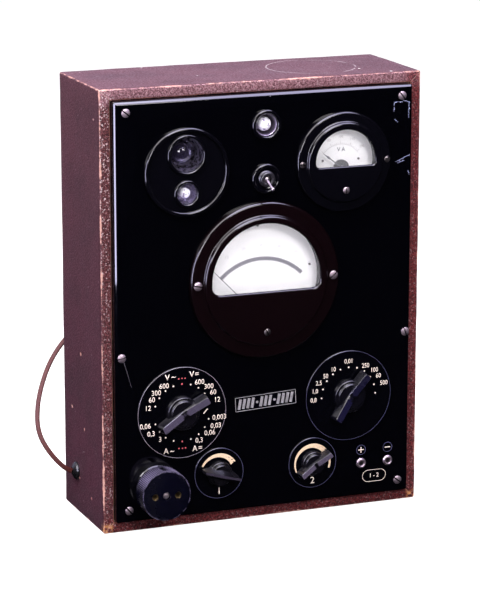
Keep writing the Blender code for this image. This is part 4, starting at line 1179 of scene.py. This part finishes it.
# ---- the outlet, jacks and nameplate -------------------------------------------------------------
def make_adaptor(bakelite, brass, nickel):
    """The pull-out plug: a ribbed drum with a notch, two lined holes and a screw in its middle."""
    node = "adaptor_plug"
    x, z = middle(node)
    front, seat = front_of(node), PANEL_FACE + 1.8
    radius, steps = ADAPTOR_RADIUS, 8 * ADAPTOR_RIBS
    bm = bmesh.new()
    heights = [(18.4, seat), (18.8, seat + 2.4), (radius, seat + 4.6), (radius, front - 0.6),
               (radius - 0.3, front - 0.1), (radius - 0.7, front)]
    sections = []
    for r, h in heights:
        depth = 0.5 if r >= radius - 0.7 else 0.0
        ring = []
        for i in range(steps):
            wave = depth * max(0.0, cos(ADAPTOR_RIBS * 2 * pi * i / steps)) ** 0.6
            a = 2 * pi * i / steps
            ring.append(((r - depth + wave) * cos(a), (r - depth + wave) * sin(a), h))
        sections.append(ring)
    loft(bm, sections)
    tool = bmesh.new()
    for sign in (-1, 1):
        rod(tool, sign * PIN_SPACING / 2, 0, 2.7, front - 12, front + 3)
    rod(tool, 0, 0, 3.3, front - 3.0, front + 3)
    box(tool, (-2.3, 17.4, seat + 5), (2.3, 23, front - 3.0))
    mesh = carve(bm, tool, node)
    drum = add("adaptor_drum", mesh, bakelite, "adaptor", panel_matrix(x, z))
    stand_in(drum, "black_bakelite", node)
    bm = bmesh.new()
    for sign in (-1, 1):
        lathe(bm, [(2.05, front - 1.4), (2.6, front - 1.4), (2.6, front - 11.5), (2.05, front - 11.5)], 32,
              (sign * PIN_SPACING / 2, 0))
    add("adaptor_sleeves", finish_mesh(bm, "sleeves"), brass, "adaptor", panel_matrix(x, z))
    bm = bmesh.new()
    for sign in (-1, 1):
        lathe(bm, [(0, seat + 1), (2.0, seat + 1), (2.0, seat - 15.6),
                   *arc(0.6, seat - 15.6, 1.4, 0, -90, 5), (0, seat - 17)], 28, (sign * PIN_SPACING / 2, 0))
    add("adaptor_pins", finish_mesh(bm, "pins"), nickel, "adaptor", panel_matrix(x, z))
    bm = lathe(bmesh.new(), [(0, front - 1.2), (1.6, front - 1.35), (2.6, front - 1.9), (2.9, front - 2.4),
                             (2.9, front - 2.9), (0, front - 2.9)], 36)
    tool = bmesh.new()
    box(tool, (-4, -0.35, front - 2.1), (4, 0.35, front))
    mesh = carve(bm, tool, "screw")
    add("adaptor_screw", mesh, nickel, "adaptor", panel_matrix(x, z, turn=25))


def make_cover_screws(finish):
    """The small wood screws that hold the rear cover, with their slots at odd angles."""
    back = high("rear_cover").y
    bm, tool = bmesh.new(), bmesh.new()
    places = ((-118, 22), (0, 22), (118, 22), (-118, 333), (0, 333), (118, 333))
    for turn, (x, z) in zip((20, 75, -30, 50, 5, -62), places):
        lathe(bm, [(0, 1.3), (1.6, 1.1), (2.9, 0.5), (3.2, 0.0), (0, 0.0)], 32, (x, -z))
        along = Matrix.Rotation(radians(turn), 2)
        outline = [along @ Vector(corner) for corner in ((3.5, 0.3), (-3.5, 0.3), (-3.5, -0.3), (3.5, -0.3))]
        loft(tool, [[(x + c.x, -z + c.y, height) for c in outline] for height in (0.5, 2.0)])
    mesh = carve(bm, tool, "cover_screws")
    to_back = Matrix.Translation((0, back, 0)) @ Matrix.Rotation(radians(-90), 4, "X")
    add("cover_screws", mesh, finish, matrix=to_back)


def make_jacks(nickel, dark, ink, dim_ink_and_edge_highlight):
    for node in ("plus_jack", "minus_jack"):
        x, z, radius = node_circle(node)
        profile = [(2.02, SEAT + 0.9), *arc(2.9, SEAT + 0.9, 0.88, 180, 60, 6), (radius - 0.6, SEAT + 1.1),
                   (radius, SEAT + 0.4), (radius, SEAT), (3.5, SEAT), (3.5, -12), (2.02, -12)]
        jack = turned(f"{node}_collar", profile, nickel, panel_matrix(x, z), steps=64)
        stand_in(jack, "nickel", node)
        turned(f"{node}_bottom", [(0, -9), (2.0, -9), (2.0, -10), (0, -10)], dark, panel_matrix(x, z),
               steps=24)
        marks = Marks()
        round_it = Marks()
        round_it.band(4.1, 0.26, 0, 360, 40)
        round_it.finish(f"{node}_sign_ring", dim_ink_and_edge_highlight, panel_matrix(x, z + 11.1, PANEL_FACE + INK_LIFT))
        marks.stroke(-2.4, 0, 2.4, 0, 0.75)
        if node == "plus_jack":
            marks.stroke(0, -2.4, 0, -0.38, 0.75)
            marks.stroke(0, 0.38, 0, 2.4, 0.75)
        marks.finish(f"{node}_sign", ink, panel_matrix(x, z + 11.1, PANEL_FACE + INK_LIFT))
    x = (middle("plus_jack")[0] + middle("minus_jack")[0]) / 2
    label = Marks()
    for sign in (-1, 1):
        label.band(5.0, 0.32, 90 * sign - 90, 90 * sign + 90, 24, centre=(sign * 5.4, 0))
        label.stroke(-5.4, sign * 4.85, 5.4, sign * 4.85, 0.32)
    label.text("1 - 2", 0, 0, 3.6, 0.95, 0.03)
    label.finish("jack_label", ink, panel_matrix(x, middle("plus_jack")[1] - 11.7, PANEL_FACE + INK_LIFT))


def make_nameplate(light, dark):
    """A small plate with a plain engraved pattern of bars in place of any name."""
    x, z = middle("nameplate")
    turn = -2.7
    bm = bmesh.new()
    box(bm, (-26.5, -6.3, SEAT), (26.5, 6.3, SEAT + 0.8))
    uprights = [e for e in bm.edges if abs(e.verts[0].co.z - e.verts[1].co.z) > 0.5]
    bmesh.ops.bevel(bm, geom=uprights, offset=1.0, segments=3, profile=0.5, affect="EDGES")
    plate = add("plain_plate", finish_mesh(bm, "plain_plate"), dark, matrix=panel_matrix(x, z, turn=turn))
    stand_in(plate, "nickel", "nameplate")
    marks = Marks()
    for sign in (-1, 1):
        marks.stroke(-25.6, sign * 5.6, 25.6, sign * 5.6, 0.45)
        marks.stroke(sign * 25.8, -5.6, sign * 25.8, 5.6, 0.45)
    for i in range(13):
        centre = -22.2 + 3.7 * i
        if i in (4, 8):
            marks.dot(centre, 0, 1.1)
            continue
        marks.stroke(centre - 0.9, -4.1, centre + 0.9, 4.1, 2.3)
    marks.finish("plate_pattern", light, panel_matrix(x, z, SEAT + 0.81, turn))


def make_needles(finish):
    for size, length, width, lift in (("small", 21.0, 0.55, 4.4), ("big", 64.0, 0.4, 4.4)):
        pivot = pivot_of(f"{size}_needle_swing")
        dial = front_of(f"{size}_meter_dial")
        turn = -53.0 if size == "small" else -MIRROR_HALF
        bm = bmesh.new()
        outline = [(width, 0), (width * 0.7, length * 0.72), (0.14, length), (-0.14, length),
                   (-width * 0.7, length * 0.72), (-width, 0), (-1.3, -length * 0.14), (1.3, -length * 0.14)]
        if size == "small":
            outline[1:5] = [(width * 0.7, length * 0.62), (width * 1.9, length * 0.72),
                            (width * 0.7, length * 0.84), (0.14, length), (-0.14, length),
                            (-width * 0.7, length * 0.84), (-width * 1.9, length * 0.72),
                            (-width * 0.7, length * 0.62)]
        loft(bm, [[(px, py, h) for px, py in outline] for h in (0.0, 0.35)])
        lathe(bm, [(0, 0.9), (1.6, 0.8), (2.2, 0.3), (2.2, -1.2), (0, -1.2)], 32)
        pointer = add(f"{size}_pointer", finish_mesh(bm, "pointer"), finish, f"{size}_needle",
                      panel_matrix(pivot.x, pivot.z, dial + lift, turn))
        stand_in(pointer, "needle_black", f"{size}_meter_needle")


def main():
    make_camera()
    make_stage()
    make_flex()
    black = polished("panel_lacquer", (0.0005, 0.0005, 0.0012), 0.05, 0.06, Specular_IOR_Level=0.36)
    bakelite = polished("moulded_bakelite", (0.0014, 0.0013, 0.0026), 0.10, 0.06, Specular_IOR_Level=0.35)
    # Each knob's haze colour is a painted sheen matched to how light falls on its bar: pale on the left
    # selector, dark navy on the right.
    knob_finish = {
        "left_selector": handled_with_painted_sheen("hazed_bakelite_painted_sheen", (0.0030, 0.0026, 0.0048), (0.070, 0.058, 0.098), 0.20,
                                 0.0062),
        "right_selector": handled_with_painted_sheen("clean_bakelite_painted_sheen", (0.0026, 0.0024, 0.0048), (0.007, 0.006, 0.026), 0.16,
                                  0.0062),
        "left_pot": handled_with_painted_sheen("small_knob_painted_sheen", (0.0034, 0.0030, 0.0048), (0.036, 0.029, 0.048), 0.20,
                            0.0088),
        "right_pot": handled_with_painted_sheen("hazed_small_knob_painted_sheen", (0.0030, 0.0026, 0.0048), (0.085, 0.070, 0.110), 0.2,
                             0.0084),
    }
    # The adaptor's lavender haze is a painted highlight on the upper left of its ribbed band.
    adaptor_highlight_finish = handled_with_painted_sheen("adaptor_painted_highlight", (0.0009, 0.0009, 0.0050), (0.19, 0.165, 0.28), 0.20, 0.0130,
                    sides=True)
    brownish = polished("brownish_bakelite", (0.0030, 0.0010, 0.0016), 0.11, 0.06, Specular_IOR_Level=0.35)
    nickel = metal("dulled_nickel", (0.60, 0.52, 0.56), 0.38, (0.30, 0.24, 0.27), 0.7)
    screw_nickel = metal("tarnished_screw", (0.46, 0.38, 0.40), 0.36, (0.09, 0.06, 0.07), 0.6)
    dark_metal = metal("dark_screw", (0.16, 0.14, 0.14), 0.30, (0.05, 0.04, 0.04))
    plate_silver = metal("plate_silver", (0.80, 0.78, 0.76), 0.42, (0.30, 0.27, 0.27), 0.5)
    brass = metal("old_brass", (0.50, 0.36, 0.16), 0.35, (0.16, 0.10, 0.05))
    bowl = metal("grey_bowl", (0.46, 0.43, 0.52), 0.24, (0.16, 0.14, 0.20), 0.6)
    engraved = polished("disc_black", (0.0005, 0.0005, 0.0016), 0.13, 0.04)
    ink = plain("cream_ink", (0.86, 0.74, 0.64), 0.6)
    red_ink = plain("red_ink", (0.62, 0.10, 0.12), 0.6)
    dim_ink_and_edge_highlight = plain("faded_ink_and_edge_highlight", (0.09, 0.09, 0.21), 0.6, vary=0.4)
    cream = plain("cream_scale", (0.82, 0.62, 0.42), 0.5, vary=0.2)
    black_ink = plain("black_ink", (0.06, 0.06, 0.07), 0.6)
    white = plain("dial_paint", (0.98, 0.98, 0.98), 0.45, vary=0.02)
    mirror = plain("mirror_strip", (0.30, 0.29, 0.34), 0.3, Metallic=0.6)
    residue = plain("glue_residue", (0.52, 0.56, 0.90), 0.6, vary=0.3)
    scratched = plain("bare_scratch", (0.16, 0.15, 0.19), 0.5, vary=0.3)
    rubber = polished("grommet_rubber", (0.006, 0.006, 0.007), 0.25, 0.15)
    board = plain("dark_hardboard", (0.13, 0.075, 0.045), 0.8, scale=260.0, depth=0.08, vary=0.35)
    wood = plain("plain_pine", (0.42, 0.27, 0.15), 0.7, scale=140.0, vary=0.3)
    clear = glass("window_glass", alpha=0.06)
    dark_glass = glass("eye_glass", (0.016, 0.013, 0.028), 0.80, 0.03)
    painted_reflection_glass = bulb_with_painted_reflection()
    make_covering()
    make_panel(black)
    make_panel_wear(residue, scratched)
    for size, finish in (("small", bakelite), ("big", brownish)):
        make_housing(size, finish)
        make_glass(size, clear)
    make_small_dial(white, black_ink, plain("washed_ink", (0.52, 0.50, 0.50), 0.6), dark_metal)
    make_big_dial(white, black_ink, plain("faint_ink", (0.76, 0.76, 0.78), 0.6), mirror, dark_metal)
    make_needles(black_ink)
    for number, turn in enumerate((40, 52, -12, 70, 48, 38), 1):
        make_slotted_screw(f"panel_screw_{number}", f"nickel_screw_{number}", screw_nickel, turn)
    for number, turn in ((1, 12), (2, -40)):
        make_slotted_screw(f"big_meter_flange_screw_{number}", f"big_flange_screw_{number}", screw_nickel,
                           turn)
        make_slotted_screw(f"small_meter_flange_screw_{number}", f"small_flange_screw_{number}", dark_metal,
                           turn)
    make_slotted_screw("small_meter_zero_screw", "small_zero_head", screw_nickel, 94, "small_zero")
    make_slotted_screw("big_meter_zero_screw", "big_zero_head", dark_metal, 60, "big_zero")
    make_eye(bakelite, bowl)
    make_top_lamp(bakelite, metal("dull_bowl", (0.25, 0.22, 0.27), 0.42, (0.09, 0.07, 0.10), 0.6))
    make_bulbs(dark_glass, painted_reflection_glass, dark_metal)
    dusty = plain("dusty_bakelite", (0.010, 0.009, 0.013), 0.36, Specular_IOR_Level=0.4)
    make_toggle(bakelite, dusty, nickel)
    # The fine line round each disc's edge is a painted highlight: lavender on the left selector, dim navy on
    # the others.
    make_left_selector(engraved, ink, red_ink, plain("edge_highlight_ink", (0.42, 0.37, 0.46), 0.6, vary=0.4))
    make_right_selector(engraved, ink, dim_ink_and_edge_highlight)
    make_pot_dial("left", engraved, ink, cream, dim_ink_and_edge_highlight, "1")
    make_pot_dial("right", engraved, ink, cream, dim_ink_and_edge_highlight, "2")
    for which in TURNS:
        make_knob(which, knob_finish[which])
    make_adaptor(adaptor_highlight_finish, brass, nickel)
    make_jacks(screw_nickel, dark_metal, ink, dim_ink_and_edge_highlight)
    make_nameplate(plate_silver, engraved)
    lamp_black = plain("movement_black", (0.012, 0.012, 0.015), 0.5)
    iron = metal("painted_iron", (0.05, 0.05, 0.055), 0.45, (0.10, 0.07, 0.05), 0.3)
    paper = plain("varnished_board", (0.17, 0.085, 0.035), 0.35, vary=0.3)
    for finish, nodes in ((bakelite, ("outlet_socket", "mains_plug", "flex_cleat")),
                          (rubber, ("flex_grommet",)), (board, ("rear_cover",)),
                          (wood, ("left_panel_batten", "right_panel_batten")),
                          (lamp_black, ("small_meter_movement", "big_meter_movement")),
                          (iron, ("mains_transformer",)),
                          (paper, ("left_selector_switch", "right_selector_switch", "left_pot_body",
                                   "right_pot_body"))):
        for node in nodes:
            dress(node, finish)
    make_cover_screws(brass)
    bpy.context.scene.view_settings.view_transform = "Standard"


main()
